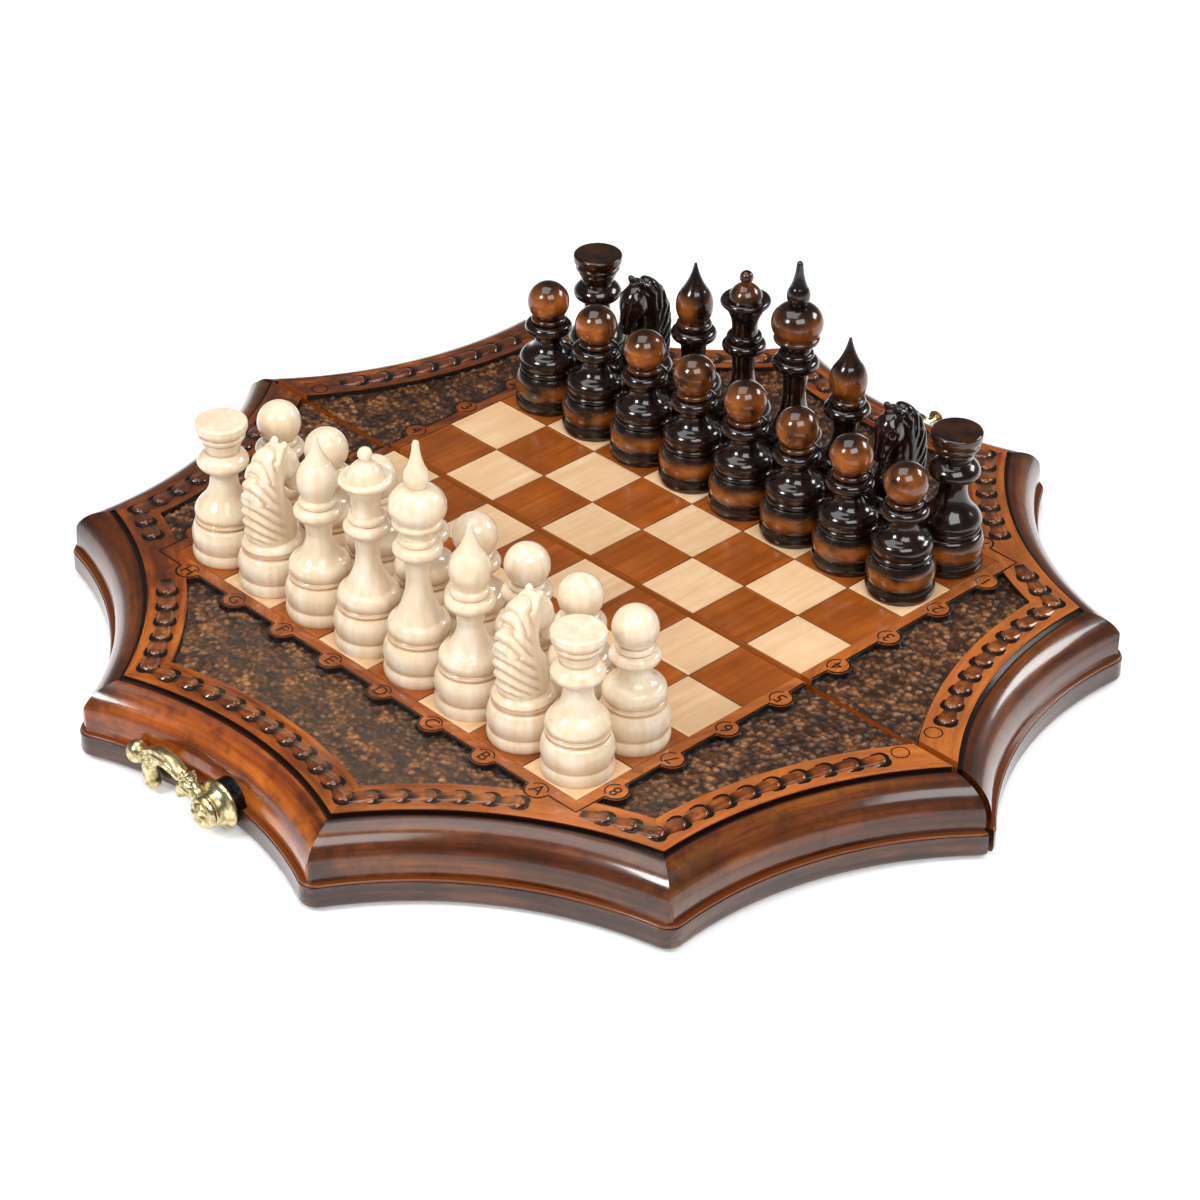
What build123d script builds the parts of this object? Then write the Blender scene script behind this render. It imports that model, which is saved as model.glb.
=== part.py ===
from build123d import *
import os
from math import asin, cos, degrees, pi, radians, sin, sqrt

# Star chess set: a folding wooden box shaped as a ten-pointed star, lying open with its playing board on
# the outside, a brass swing hook on the near side, and 32 turned and carved pieces set up on the squares.
# Millimetres. +Z is up, X runs along the fold, light pieces stand on the -Y half, dark ones on the +Y half.
# The origin is on the table under the middle of the fold.

# Playing squares
SQUARE = 27.0
SQUARES = 8
TILE_T = 3.0
TILE_CHAMFER = 0.4

# Star outline of one open box
STAR_POINTS = 10
SIDE_DIP = 14.37
POINT_ROUND = 6.5

# Heights of one half, from its rim on the table to its top
HALF_HEIGHT = 29.0
PANEL_T = 7.0
BAND_H = 9.0
BEAD_H = 1.0
BEAD_INSET = 0.3
BAND_ROUND = 2.0

# Moulding and carved top
MOULDING_W = 14.8
FRAME_W = 18.0
MOULDING_INSET = 2.4
GROOVE_W = 1.3
GROOVE_DEPTH = 2.2
SHOULDER_W = 11.2
SHOULDER_DROP = 10.6
NOSE_CLEAR = 2.0
RIM_FLAT_W = 14.4
CORNER_MARGIN = 10.17
POCKET_DEPTH = 2.4
BORDER_W = 5.2
LOBE_R = 5.2
LOBE_FILLET = 1.3

# Fold: rails, hinges and the gap between the halves
HALF_GAP = 1.4
CLOSED_GAP = 0.3
RAIL_W = 8.0
KNUCKLE_R = 1.25
PIN_R = 0.6
PIN_PLAY = 0.06
HINGE_L = 40.0
HINGE_X = 105.0
KNUCKLES = 5
KNUCKLE_PLAY = 0.3
LEAF_T = 1.1
LEAF_W = 7.0
HINGE_SCREWS = 3
HINGE_SCREW_R = 0.9
HINGE_SCREW_HEAD_R = 1.9
HINGE_SCREW_L = 6.0

# Swing hook on the near side and its catch on the far side
PIVOT_X = 6.0
PIVOT_Z = 11.0
BACKPLATE_R = 8.2
BACKPLATE_T = 3.0
CATCH_PLATE_R = 6.0
SHANK_R = 2.2
PIVOT_PLAY = 0.1
FACE_PLAY = 0.25
COLLAR_R = 8.6
COLLAR_L = 6.6
DOME_R = 6.2
DOME_H = 4.2
HOOK_REACH = 25.0
HOOK_RISE = 1.0
HOOK_T = 4.4
NOTCH_R = 2.5
STUD_R = 1.9
STUD_HEAD_R = 3.6
STUD_HEAD_H = 2.4
KNOB_R = 4.2
KNOB_REACH = 37.5
KNOB_RISE = 5.2

# Chess pieces: the turned base that all of them share
FOOT_R = 13.1
FOOT_H = 5.4
WAIST_R = 12.2
BELLY_R = 13.1
BELLY_H = 9.6
RING_R = 11.4
RING_H = 2.2
RING_CUT = 0.7
BELL_R = 11.5
BELL_H = 6.4
BELL_TOP_R = 9.0

# Chess pieces: overall heights and the radii that tell them apart
PAWN_BALL_R = 8.3
PAWN_HEIGHT = 53.9
ROOK_TOP_R = 9.6
ROOK_HEIGHT = 57.2
BISHOP_HEAD_R = 7.4
BISHOP_HEIGHT = 73.8
QUEEN_CROWN_R = 9.8
QUEEN_BALL_R = 2.7
QUEEN_HEIGHT = 80.7
KING_BULB_R = 10.0
KING_DROP_R = 4.5
KING_HEIGHT = 95.2
KNIGHT_DISC_H = 5.0
KNIGHT_NECK_W = 16.0
KNIGHT_HEAD_W = 8.4
KNIGHT_HEIGHT = 59.6
MANE_FLUTES = 5
MANE_FLUTE_R = 1.3

# Sizes worked out from the ones above
HALF_SECTOR = 180.0 / STAR_POINTS
RIM_Z = KNUCKLE_R + CLOSED_GAP / 2
TOP_Z = RIM_Z + HALF_HEIGHT
PANEL_Z = TOP_Z - PANEL_T
AXIS_Z = KNUCKLE_R
BOARD_X = SQUARE * SQUARES / 2
BOARD_Y = HALF_GAP + BOARD_X
FLAT_MID_R = sqrt(BOARD_X**2 + BOARD_Y**2) + CORNER_MARGIN
SIDE_MID_R = FLAT_MID_R + MOULDING_W
POINT_REACH = SIDE_MID_R + SIDE_DIP
POINT_R = POINT_REACH / cos(radians(HALF_SECTOR))
POINT_CHORD = POINT_R * sin(radians(HALF_SECTOR))
SIDE_ARC_R = (POINT_CHORD**2 + SIDE_DIP**2) / (2 * SIDE_DIP)
SIDE_CENTRE = SIDE_MID_R + SIDE_ARC_R
POCKET_MID_R = FLAT_MID_R - RIM_FLAT_W
CAVITY_MID_R = SIDE_MID_R - FRAME_W
BIG = 3 * POINT_R


def corner_r(mid_r):
    """Distance from the star's centre to the point where two side arcs at mid_r meet."""
    arc_r = SIDE_CENTRE - mid_r
    across = SIDE_CENTRE * sin(radians(HALF_SECTOR))
    return SIDE_CENTRE * cos(radians(HALF_SECTOR)) - sqrt(arc_r**2 - across**2)


def tip_half_angle(mid_r):
    """Half the angle between two side arcs where they meet, in radians."""
    arc_r = SIDE_CENTRE - mid_r
    return asin((SIDE_CENTRE * cos(radians(HALF_SECTOR)) - corner_r(mid_r)) / arc_r)


def tip_loss(mid_r):
    """How far rounding a point moves it inwards, for each millimetre of rounding radius."""
    return 1 / sin(tip_half_angle(mid_r)) - 1


def polar(radius, angle):
    return (radius * cos(radians(angle)), radius * sin(radians(angle)))


def star_face(mid_r):
    """The whole star outline whose concave sides pass mid_r from the centre at their middles."""
    tip = corner_r(mid_r)
    with BuildSketch() as sketch:
        with BuildLine():
            for point in range(STAR_POINTS):
                start = point * 2 * HALF_SECTOR
                ThreePointArc(
                    polar(tip, start),
                    polar(mid_r, start + HALF_SECTOR),
                    polar(tip, start + 2 * HALF_SECTOR),
                )
        make_face()
    return sketch.sketch


def half_block(z0, z1, inset=0.0):
    """A block that covers the near half's side of the fold between two heights."""
    depth = BIG
    centre_y = -(HALF_GAP + inset) - depth / 2
    return Pos(0, centre_y, (z0 + z1) / 2) * Box(2 * BIG, depth, z1 - z0)


def star_prism(mid_r, z0, z1, rounding=0.0):
    """The star outline at mid_r pulled up from z0 to z1, its ten points rounded."""
    prism = Pos(0, 0, z0) * extrude(star_face(mid_r), z1 - z0)
    if rounding:
        uprights = prism.edges().filter_by(Axis.Z)
        prism = fillet(uprights, rounding)
    return prism


def near_part(prism):
    box = prism.bounding_box()
    return prism & half_block(box.min.Z - 1, box.max.Z + 1)


def base_band():
    """Lower band of the near half with its bead: a ring that is open on the fold side."""
    band = star_prism(SIDE_MID_R, RIM_Z, RIM_Z + BAND_H, POINT_ROUND)
    band = fillet(band.faces().sort_by(Axis.Z)[0].edges(), BAND_ROUND)
    band = fillet(band.faces().sort_by(Axis.Z)[-1].edges(), BEAD_INSET)
    bead_mid = SIDE_MID_R - BEAD_INSET
    bead = star_prism(bead_mid, RIM_Z + BAND_H, RIM_Z + BAND_H + BEAD_H, POINT_ROUND)
    bead = fillet(bead.faces().sort_by(Axis.Z)[0].edges(), BEAD_H * 0.4)
    bead = fillet(bead.faces().sort_by(Axis.Z)[-1].edges(), BEAD_H * 0.4)
    cavity = star_prism(CAVITY_MID_R, RIM_Z - 1, TOP_Z)
    return near_part((band + bead) - cavity)


def moulding_profile():
    """Section of the rim moulding on a side's middle line: ledge, groove and full bullnose."""
    foot_z = RIM_Z + BAND_H + BEAD_H
    groove_z = TOP_Z - GROOVE_DEPTH
    groove_r = FLAT_MID_R + GROOVE_W
    shoulder_r = groove_r + SHOULDER_W
    shoulder_z = groove_z + 0.5 - SHOULDER_DROP
    foot_r = SIDE_MID_R - MOULDING_INSET
    with BuildSketch(Plane.XZ) as sketch:
        with BuildLine():
            Polyline(
                (foot_r, foot_z),
                (CAVITY_MID_R, foot_z),
                (CAVITY_MID_R, PANEL_Z),
                (FLAT_MID_R, PANEL_Z),
                (FLAT_MID_R, groove_z),
                (groove_r, groove_z),
                (groove_r, groove_z + 0.5),
            )
            crown = ThreePointArc(
                (groove_r, groove_z + 0.5),
                (groove_r + SHOULDER_W * 0.67, groove_z + 0.5 - SHOULDER_DROP * 0.32),
                (shoulder_r, shoulder_z),
            )
            TangentArc((shoulder_r, shoulder_z), (foot_r, foot_z), tangent=crown % 1)
        make_face()
    return sketch.sketch


def nose_prism():
    """Outline clear of the moulding's sides that only rounds its noses, in line with the bead's."""
    foot_mid = SIDE_MID_R - MOULDING_INSET
    clear_mid = SIDE_MID_R + NOSE_CLEAR
    nose_tip = corner_r(foot_mid) - POINT_ROUND * tip_loss(foot_mid)
    rounding = (corner_r(clear_mid) - nose_tip) / tip_loss(clear_mid)
    return star_prism(clear_mid, RIM_Z, TOP_Z, rounding)


def rim_moulding():
    """Five mitred moulding lengths of the near half, each turned about its own side's centre."""
    sweep = 2 * degrees(asin(POINT_CHORD / SIDE_ARC_R)) + 6
    axis = Axis((SIDE_CENTRE, 0, 0), (0, 0, 1))
    profile = moulding_profile().rotate(axis, -sweep / 2)
    length = revolve(profile, axis, sweep)
    with BuildSketch() as wedge:
        with BuildLine():
            Polyline((0, 0), polar(BIG, -HALF_SECTOR), polar(BIG, HALF_SECTOR), close=True)
        make_face()
    length = length & extrude(wedge.sketch, TOP_Z)
    length = length & (Rot(0, 0, HALF_SECTOR) * nose_prism())
    sides = []
    for side in range(STAR_POINTS // 2):
        angle = -HALF_SECTOR - side * 2 * HALF_SECTOR
        sides.append(near_part(Rot(0, 0, angle) * length))
    return sides


def lobe_places():
    """Middles of the label lobes along the three outer edges of the near half's border."""
    edge = BOARD_X + BORDER_W
    places = []
    for square in range(SQUARES):
        places.append(((square + 0.5) * SQUARE - BOARD_X, -(BOARD_Y + BORDER_W)))
    for square in range(SQUARES // 2):
        y = -HALF_GAP - (square + 0.5) * SQUARE
        places.append((edge, y))
        places.append((-edge, y))
    return places


def border_face():
    """Border strip of the near half with its round lobes, as one flat outline."""
    width = 2 * (BOARD_X + BORDER_W)
    depth = BOARD_Y + BORDER_W
    outline = Pos(0, -depth / 2) * Rectangle(width, depth)
    for x, y in lobe_places():
        outline += Pos(x, y) * Circle(LOBE_R)
    outline = offset(outline, LOBE_FILLET)
    return offset(outline, -LOBE_FILLET)


def top_panel():
    """Carved top of the near half: flat rim, sunk pockets, lobed border and bed for the squares."""
    panel = star_prism(FLAT_MID_R, PANEL_Z, TOP_Z)
    pockets = star_prism(POCKET_MID_R, TOP_Z - POCKET_DEPTH, TOP_Z + 1)
    border = Pos(0, 0, PANEL_Z) * extrude(border_face(), 2 * PANEL_T)
    bed_depth = BOARD_Y - HALF_GAP
    bed_y = -HALF_GAP - bed_depth / 2
    bed = Pos(0, bed_y, TOP_Z - TILE_T / 2 + 1) * Box(2 * BOARD_X, bed_depth, TILE_T + 2)
    return near_part(panel - (pockets - border) - bed)


def square_tiles(light):
    """The near half's light or dark squares: bevelled tiles that meet in V lines."""
    tile = Box(SQUARE, SQUARE, TILE_T)
    tile = chamfer(tile.faces().sort_by(Axis.Z)[-1].edges(), TILE_CHAMFER)
    tiles = []
    for column in range(SQUARES):
        for row in range(SQUARES // 2):
            is_light = (column + row) % 2 == 1
            if is_light == light:
                x, y = square_place(column, row)
                tiles.append(Pos(x, y, TOP_Z - TILE_T / 2) * tile)
    return tiles


def square_place(column, row):
    """Middle of a square: columns run along +X, rows along +Y from the light player's edge."""
    x = (column + 0.5) * SQUARE - BOARD_X
    y = (row + 0.5) * SQUARE - BOARD_X
    if row < SQUARES // 2:
        return x, y - HALF_GAP
    return x, y + HALF_GAP


def hinge_middles():
    return [-HINGE_X, HINGE_X]


def leaf_screw_places():
    """Screw middles of the near half's two hinge leaves."""
    pitch = HINGE_L / HINGE_SCREWS
    y = -(HALF_GAP + 0.2 + LEAF_W / 2)
    places = []
    for middle in hinge_middles():
        for screw in range(HINGE_SCREWS):
            places.append((middle + (screw - (HINGE_SCREWS - 1) / 2) * pitch, y))
    return places


def hinge_screws():
    """Small countersunk screws that hold the near leaves, heads flush with the rim."""
    sink = HINGE_SCREW_HEAD_R - HINGE_SCREW_R
    screws = []
    for x, y in leaf_screw_places():
        head = Pos(x, y, RIM_Z + sink / 2) * Cone(HINGE_SCREW_HEAD_R, HINGE_SCREW_R, sink)
        shank_l = HINGE_SCREW_L - sink
        shank = Pos(x, y, RIM_Z + sink + shank_l / 2) * Cylinder(HINGE_SCREW_R, shank_l)
        screws.append(head + shank)
    return screws


def knuckle_span(middle, knuckle):
    pitch = HINGE_L / KNUCKLES
    return middle + (knuckle - (KNUCKLES - 1) / 2) * pitch, pitch - KNUCKLE_PLAY


def hinge_leaves(first, bore):
    """The two leaves of one half, built on -Y: plate let into the rim plus every second knuckle."""
    leaves = []
    for middle in hinge_middles():
        plate_y = -(HALF_GAP + 0.2)
        plate = Pos(middle, plate_y - LEAF_W / 2, RIM_Z + LEAF_T / 2) * Box(HINGE_L, LEAF_W, LEAF_T)
        leaf = plate
        for knuckle in range(first, KNUCKLES, 2):
            x, length = knuckle_span(middle, knuckle)
            tab = Pos(x, plate_y / 2, RIM_Z + LEAF_T / 2) * Box(length, -plate_y, LEAF_T)
            barrel = Pos(x, 0, AXIS_Z) * Rot(0, 90, 0) * Cylinder(KNUCKLE_R, length)
            leaf += tab + barrel
        hole = Pos(middle, 0, AXIS_Z) * Rot(0, 90, 0) * Cylinder(bore, 2 * HINGE_L)
        leaf -= hole
        for screw in hinge_screws():
            leaf -= screw
        leaves.append(leaf)
    return leaves


def fold_rail():
    """Rail along the near half's fold edge, with beds for the hinge leaves and screws."""
    slab_z = (RIM_Z + PANEL_Z) / 2
    slab = Pos(0, -HALF_GAP - RAIL_W / 2, slab_z) * Box(2 * POINT_R, RAIL_W, PANEL_Z - RIM_Z)
    rail = slab & star_prism(CAVITY_MID_R, RIM_Z, PANEL_Z)
    for middle in hinge_middles():
        bed_w = LEAF_W + 0.2
        bed = Pos(middle, -HALF_GAP - bed_w / 2, RIM_Z + LEAF_T / 2) * Box(HINGE_L, bed_w, LEAF_T)
        rail -= bed
    for screw in hinge_screws():
        rail -= screw
    return rail


def hinge_pins():
    pins = []
    for middle in hinge_middles():
        pins.append(Pos(middle, 0, AXIS_Z) * Rot(0, 90, 0) * Cylinder(PIN_R, HINGE_L))
    return pins


def outward(x, z, y0, y1, radius, end_radius=None):
    """A round bar or cone on the near side that points away from the box, from y0 out to y1."""
    turn = Pos(x, -(y0 + y1) / 2, z) * Rot(90, 0, 0)
    if end_radius is None:
        return turn * Cylinder(radius, y1 - y0)
    return turn * Cone(radius, end_radius, y1 - y0)


def hook_faces():
    """Distances from the fold of the backplate's face, the hook's two faces and the screw head."""
    plate = SIDE_MID_R + BACKPLATE_T
    inner = plate + FACE_PLAY
    outer = inner + COLLAR_L
    return plate, inner, outer, outer + FACE_PLAY


def stud_z():
    """Height of the catch when open, so that the swung hook meets it when the box is folded."""
    reach = sqrt(HOOK_REACH**2 + HOOK_RISE**2)
    return 2 * AXIS_Z - (PIVOT_Z - reach)


def side_plate(radius, z, frame_solids):
    """A round plate that fills the space between the shaped side and a flat face in front of it."""
    plate = outward(PIVOT_X, z, SIDE_MID_R - MOULDING_W / 2, hook_faces()[0], radius)
    for solid in frame_solids:
        plate -= solid
    pieces = plate.solids().sort_by(Axis.Y)
    return pieces[0]


def domed_head(x, z, y0, radius, height):
    """Low domed screw head whose flat side is at y0."""
    ball_r = (radius**2 + height**2) / (2 * height)
    ball = Pos(x, -(y0 + height - ball_r), z) * Sphere(ball_r)
    return ball & outward(x, z, y0, y0 + height + 1, radius)


def pivot_screw():
    plate, inner, outer, head = hook_faces()
    return outward(PIVOT_X, PIVOT_Z, plate, head, SHANK_R) + domed_head(PIVOT_X, PIVOT_Z, head, DOME_R, DOME_H)


def catch_stud():
    """Catch on the far side, built on -Y: a stem that ends level with the pivot screw's dome."""
    plate, inner, outer, head = hook_faces()
    z = stud_z()
    stem_end = head + DOME_H - STUD_HEAD_H
    stem = outward(PIVOT_X, z, plate, stem_end, STUD_R)
    return stem + domed_head(PIVOT_X, z, stem_end, STUD_HEAD_R, STUD_HEAD_H)


def hook_collar():
    """Flared collar that turns on the pivot screw."""
    plate, inner, outer, head = hook_faces()
    with BuildSketch(Plane.XZ) as sketch:
        with BuildLine():
            bore = SHANK_R + PIVOT_PLAY
            Polyline((bore, 0), (COLLAR_R, 0), (COLLAR_R, COLLAR_L * 0.3))
            ThreePointArc(
                (COLLAR_R, COLLAR_L * 0.3),
                (COLLAR_R * 0.76, COLLAR_L * 0.58),
                (DOME_R * 0.9, COLLAR_L),
            )
            Polyline((DOME_R * 0.9, COLLAR_L), (bore, COLLAR_L), (bore, 0))
        make_face()
    collar = revolve(sketch.sketch, Axis.Z, 360)
    return Pos(PIVOT_X, -inner, PIVOT_Z) * Rot(90, 0, 0) * collar


def hook_arm():
    """Curved arm with a round notch for the catch and a tongue that hangs outside it."""
    plate, inner, outer, head = hook_faces()
    tongue_in = HOOK_REACH + NOTCH_R
    tongue_out = tongue_in + 5.0
    tongue_end = -(PIVOT_Z - 1.4)
    notch_side = HOOK_REACH - NOTCH_R
    with BuildSketch(Plane.XZ) as sketch:
        with BuildLine():
            upper = Spline((3.0, 4.6), (12.0, 7.6), (20.0, 8.4), (28.0, 8.2), (KNOB_REACH, KNOB_RISE + 2.4))
            Line(upper @ 1, (KNOB_REACH, KNOB_RISE - 2.2))
            heel = ThreePointArc(
                (KNOB_REACH, KNOB_RISE - 2.2),
                (tongue_out + 1.2, 0.4),
                (tongue_out, -4.2),
            )
            tip = ThreePointArc(
                heel @ 1,
                (tongue_out - 1.5, tongue_end + 1.6),
                (tongue_in + 1.4, tongue_end),
            )
            curl = ThreePointArc(tip @ 1, (tongue_in + 0.1, tongue_end + 2.6), (tongue_in, HOOK_RISE))
            notch = ThreePointArc(curl @ 1, (HOOK_REACH, HOOK_RISE + NOTCH_R), (notch_side, HOOK_RISE))
            lower = Spline(notch @ 1, (notch_side - 0.8, -2.6), (18.4, -4.4), (15.4, -2.0), (10.0, -3.0), (3.0, -4.6))
            Line(lower @ 1, (3.0, 4.6))
        make_face()
    arm_y = inner + COLLAR_L * 0.22
    flat = extrude(sketch.sketch, HOOK_T)
    arm = Pos(PIVOT_X, -arm_y, PIVOT_Z) * mirror(flat, Plane.YZ)
    knob_y = arm_y + HOOK_T / 2
    knob = Pos(PIVOT_X - KNOB_REACH, -knob_y, PIVOT_Z + KNOB_RISE) * Sphere(KNOB_R)
    return arm, knob


def latch_hook():
    plate, inner, outer, head = hook_faces()
    arm, knob = hook_arm()
    bore = outward(PIVOT_X, PIVOT_Z, inner - 1, outer + 1, SHANK_R + PIVOT_PLAY)
    return (hook_collar() + arm + knob) - bore


def turned(profile):
    """Solid of a profile given as straight steps (r, z) and arcs ((via r, via z), (r, z))."""
    with BuildSketch(Plane.XZ) as sketch:
        with BuildLine():
            here = (0.0, 0.0)
            for step in profile:
                if isinstance(step[0], tuple):
                    ThreePointArc(here, step[0], step[1])
                    here = step[1]
                else:
                    Line(here, step)
                    here = step
            Line(here, (0.0, 0.0))
        make_face()
    return revolve(sketch.sketch, Axis.Z, 360)


def dome(radius, z, top):
    """Arc step of a round cap that starts at (radius, z) and ends level on the axis at top."""
    rise = top - z
    ball_r = (radius**2 + rise**2) / (2 * rise)
    half = asin(radius / ball_r) / 2
    return ((ball_r * sin(half), top - ball_r * (1 - cos(half))), (0.0, top))


def foot_and_belly():
    """Flared foot and round belly, up to the groove under the small ring."""
    belly_z = FOOT_H + BELLY_H
    return [
        (FOOT_R - 0.6, 0.0),
        ((FOOT_R, FOOT_H * 0.5), (WAIST_R, FOOT_H)),
        ((BELLY_R, FOOT_H + BELLY_H * 0.48), (RING_R, belly_z)),
        (RING_R - RING_CUT, belly_z + 0.4),
    ]


def turned_base(neck_r, neck_z):
    """Foot, belly, ring and bell that rises in a hollow curve to the neck at (neck_r, neck_z)."""
    ring_z = FOOT_H + BELLY_H + 0.4
    bell_z = ring_z + RING_H
    bell_top = bell_z + BELL_H
    steps = foot_and_belly()
    steps.append(((RING_R, ring_z + RING_H / 2), (RING_R - RING_CUT, bell_z)))
    steps.append(((BELL_R, bell_z + BELL_H * 0.34), (BELL_TOP_R, bell_top)))
    mid_r = neck_r + (BELL_TOP_R - neck_r) * 0.36
    mid_z = bell_top + (neck_z - bell_top) * 0.38
    steps.append(((mid_r, mid_z), (neck_r, neck_z)))
    return steps


def collar_steps(neck_r, collar_r, top_r, z0, z1):
    """Neck flare and round-edged saucer collar between the heights z0 and z1."""
    middle = (z0 + z1) / 2
    return [
        (neck_r + 0.7, z0),
        ((collar_r, middle), (top_r, z1)),
    ]


def pawn():
    """Ball on a small bead and a saucer collar."""
    neck_r = 5.2
    ball_z = PAWN_HEIGHT - PAWN_BALL_R
    seat_r = PAWN_BALL_R * 0.62
    seat_z = ball_z - sqrt(PAWN_BALL_R**2 - seat_r**2)
    collar_top = seat_z - 2.4
    steps = turned_base(neck_r, collar_top - 7.6)
    steps += collar_steps(neck_r, 9.3, 6.0, collar_top - 4.2, collar_top)
    steps.append(((6.8, collar_top + 1.1), (seat_r, seat_z)))
    steps.append(((PAWN_BALL_R, ball_z), (0.0, PAWN_HEIGHT)))
    return turned(steps)


def rook():
    """Cup-shaped turret with two grooves under a low domed top."""
    neck_r = 5.3
    cup_z = ROOK_HEIGHT - 15.6
    rim_z = ROOK_HEIGHT - 7.2
    steps = turned_base(neck_r, cup_z - 11.2)
    steps += collar_steps(neck_r, 9.0, 6.6, cup_z - 5.4, cup_z)
    steps += [
        ((ROOK_TOP_R * 0.73, cup_z + 3.4), (ROOK_TOP_R * 0.90, rim_z - 2.6)),
        (ROOK_TOP_R * 0.87, rim_z - 2.2),
        ((ROOK_TOP_R * 0.97, rim_z - 1.1), (ROOK_TOP_R * 0.92, rim_z)),
        (ROOK_TOP_R * 0.90, rim_z + 0.4),
        ((ROOK_TOP_R, rim_z + 3.4), (ROOK_TOP_R - 1.1, ROOK_HEIGHT - 1.0)),
        dome(ROOK_TOP_R - 1.1, ROOK_HEIGHT - 1.0, ROOK_HEIGHT),
    ]
    return turned(steps)


def bishop():
    """Onion-shaped head that draws out to a point."""
    neck_r = 4.7
    head_z = BISHOP_HEIGHT - 25.0
    steps = turned_base(neck_r, head_z - 15.0)
    steps += collar_steps(neck_r, 9.0, 6.2, head_z - 8.0, head_z - 3.2)
    steps += [
        ((7.0, head_z - 1.6), (5.4, head_z)),
        ((BISHOP_HEAD_R, head_z + 6.6), (BISHOP_HEAD_R * 0.64, head_z + 14.2)),
        ((BISHOP_HEAD_R * 0.24, head_z + 20.2), (0.6, BISHOP_HEIGHT - 0.5)),
        dome(0.6, BISHOP_HEIGHT - 0.5, BISHOP_HEIGHT),
    ]
    return turned(steps)


def queen():
    """Wide saucer crown with a low dome and a small ball."""
    neck_r = 4.3
    crown_z = QUEEN_HEIGHT - 11.4
    ball_z = QUEEN_HEIGHT - QUEEN_BALL_R
    seat_r = QUEEN_BALL_R * 0.6
    seat_z = ball_z - sqrt(QUEEN_BALL_R**2 - seat_r**2)
    steps = turned_base(neck_r, crown_z - 31.0)
    steps += collar_steps(neck_r, 8.6, 6.0, crown_z - 22.6, crown_z - 18.2)
    steps += [
        ((6.9, crown_z - 16.6), (5.2, crown_z - 15.1)),
        ((5.4, crown_z - 9.4), (QUEEN_CROWN_R - 0.9, crown_z - 2.8)),
        ((QUEEN_CROWN_R, crown_z - 1.4), (QUEEN_CROWN_R - 0.9, crown_z)),
        (QUEEN_CROWN_R * 0.7, crown_z - 0.5),
        ((QUEEN_CROWN_R * 0.54, crown_z + 3.4), (seat_r, seat_z - 0.5)),
        (seat_r, seat_z),
        ((QUEEN_BALL_R, ball_z), (0.0, QUEEN_HEIGHT)),
    ]
    return turned(steps)


def king():
    """Turban-shaped bulb on a ring, with a tall drop that ends in a spire."""
    neck_r = 4.4
    bulb_z = KING_HEIGHT - 30.8
    drop_z = KING_HEIGHT - 18.4
    steps = turned_base(neck_r, bulb_z - 24.4)
    steps += collar_steps(neck_r, 9.0, 6.4, bulb_z - 14.6, bulb_z - 9.8)
    steps += [
        ((7.0, bulb_z - 8.4), (5.8, bulb_z - 7.0)),
        ((6.0, bulb_z - 4.8), (KING_BULB_R * 0.78, bulb_z - 3.0)),
        ((KING_BULB_R * 0.89, bulb_z - 1.7), (KING_BULB_R * 0.80, bulb_z - 0.4)),
        ((KING_BULB_R, bulb_z + 5.8), (KING_DROP_R * 0.7, drop_z)),
        ((KING_DROP_R, drop_z + 3.6), (KING_DROP_R * 0.74, drop_z + 7.8)),
        ((KING_DROP_R * 0.42, drop_z + 12.6), (1.3, KING_HEIGHT - 1.2)),
        dome(1.3, KING_HEIGHT - 1.2, KING_HEIGHT),
    ]
    return turned(steps)


def horse_side():
    """Side outline of the horse, looking along X, with its bent head towards +Y."""
    z0 = FOOT_H + BELLY_H + KNIGHT_DISC_H
    top = KNIGHT_HEIGHT
    with BuildSketch(Plane.YZ) as sketch:
        with BuildLine():
            Line((-9.4, z0), (9.2, z0))
            chest = ThreePointArc((9.2, z0), (8.8, z0 + 9.0), (5.2, z0 + 17.5))
            throat = ThreePointArc(chest @ 1, (4.4, z0 + 21.2), (5.8, z0 + 23.2))
            jaw = ThreePointArc(throat @ 1, (7.6, z0 + 20.4), (9.0, z0 + 17.4))
            muzzle = ThreePointArc(jaw @ 1, (11.4, z0 + 15.5), (13.0, z0 + 18.2))
            face = ThreePointArc(muzzle @ 1, (12.6, z0 + 27.6), (9.4, top - 4.4))
            ear = Polyline(face @ 1, (7.8, top), (4.4, top - 2.2))
            crest = ThreePointArc((4.4, top - 2.2), (-5.8, z0 + 30.0), (-10.2, z0 + 18.6))
            ThreePointArc(crest @ 1, (-10.5, z0 + 9.0), (-9.4, z0))
        make_face()
    return sketch.sketch


def horse_front():
    """Front outline of the horse, looking along Y: broad neck that narrows to the ears."""
    z0 = FOOT_H + BELLY_H + KNIGHT_DISC_H
    neck = KNIGHT_NECK_W / 2
    head = KNIGHT_HEAD_W / 2
    with BuildSketch(Plane.XZ) as sketch:
        with BuildLine():
            Line((-neck, z0), (neck, z0))
            right = ThreePointArc((neck, z0), (neck * 0.99, z0 + 17.0), (head, KNIGHT_HEIGHT))
            Line(right @ 1, (-head, KNIGHT_HEIGHT))
            ThreePointArc((-head, KNIGHT_HEIGHT), (-neck * 0.99, z0 + 17.0), (-neck, z0))
        make_face()
    return sketch.sketch


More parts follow.
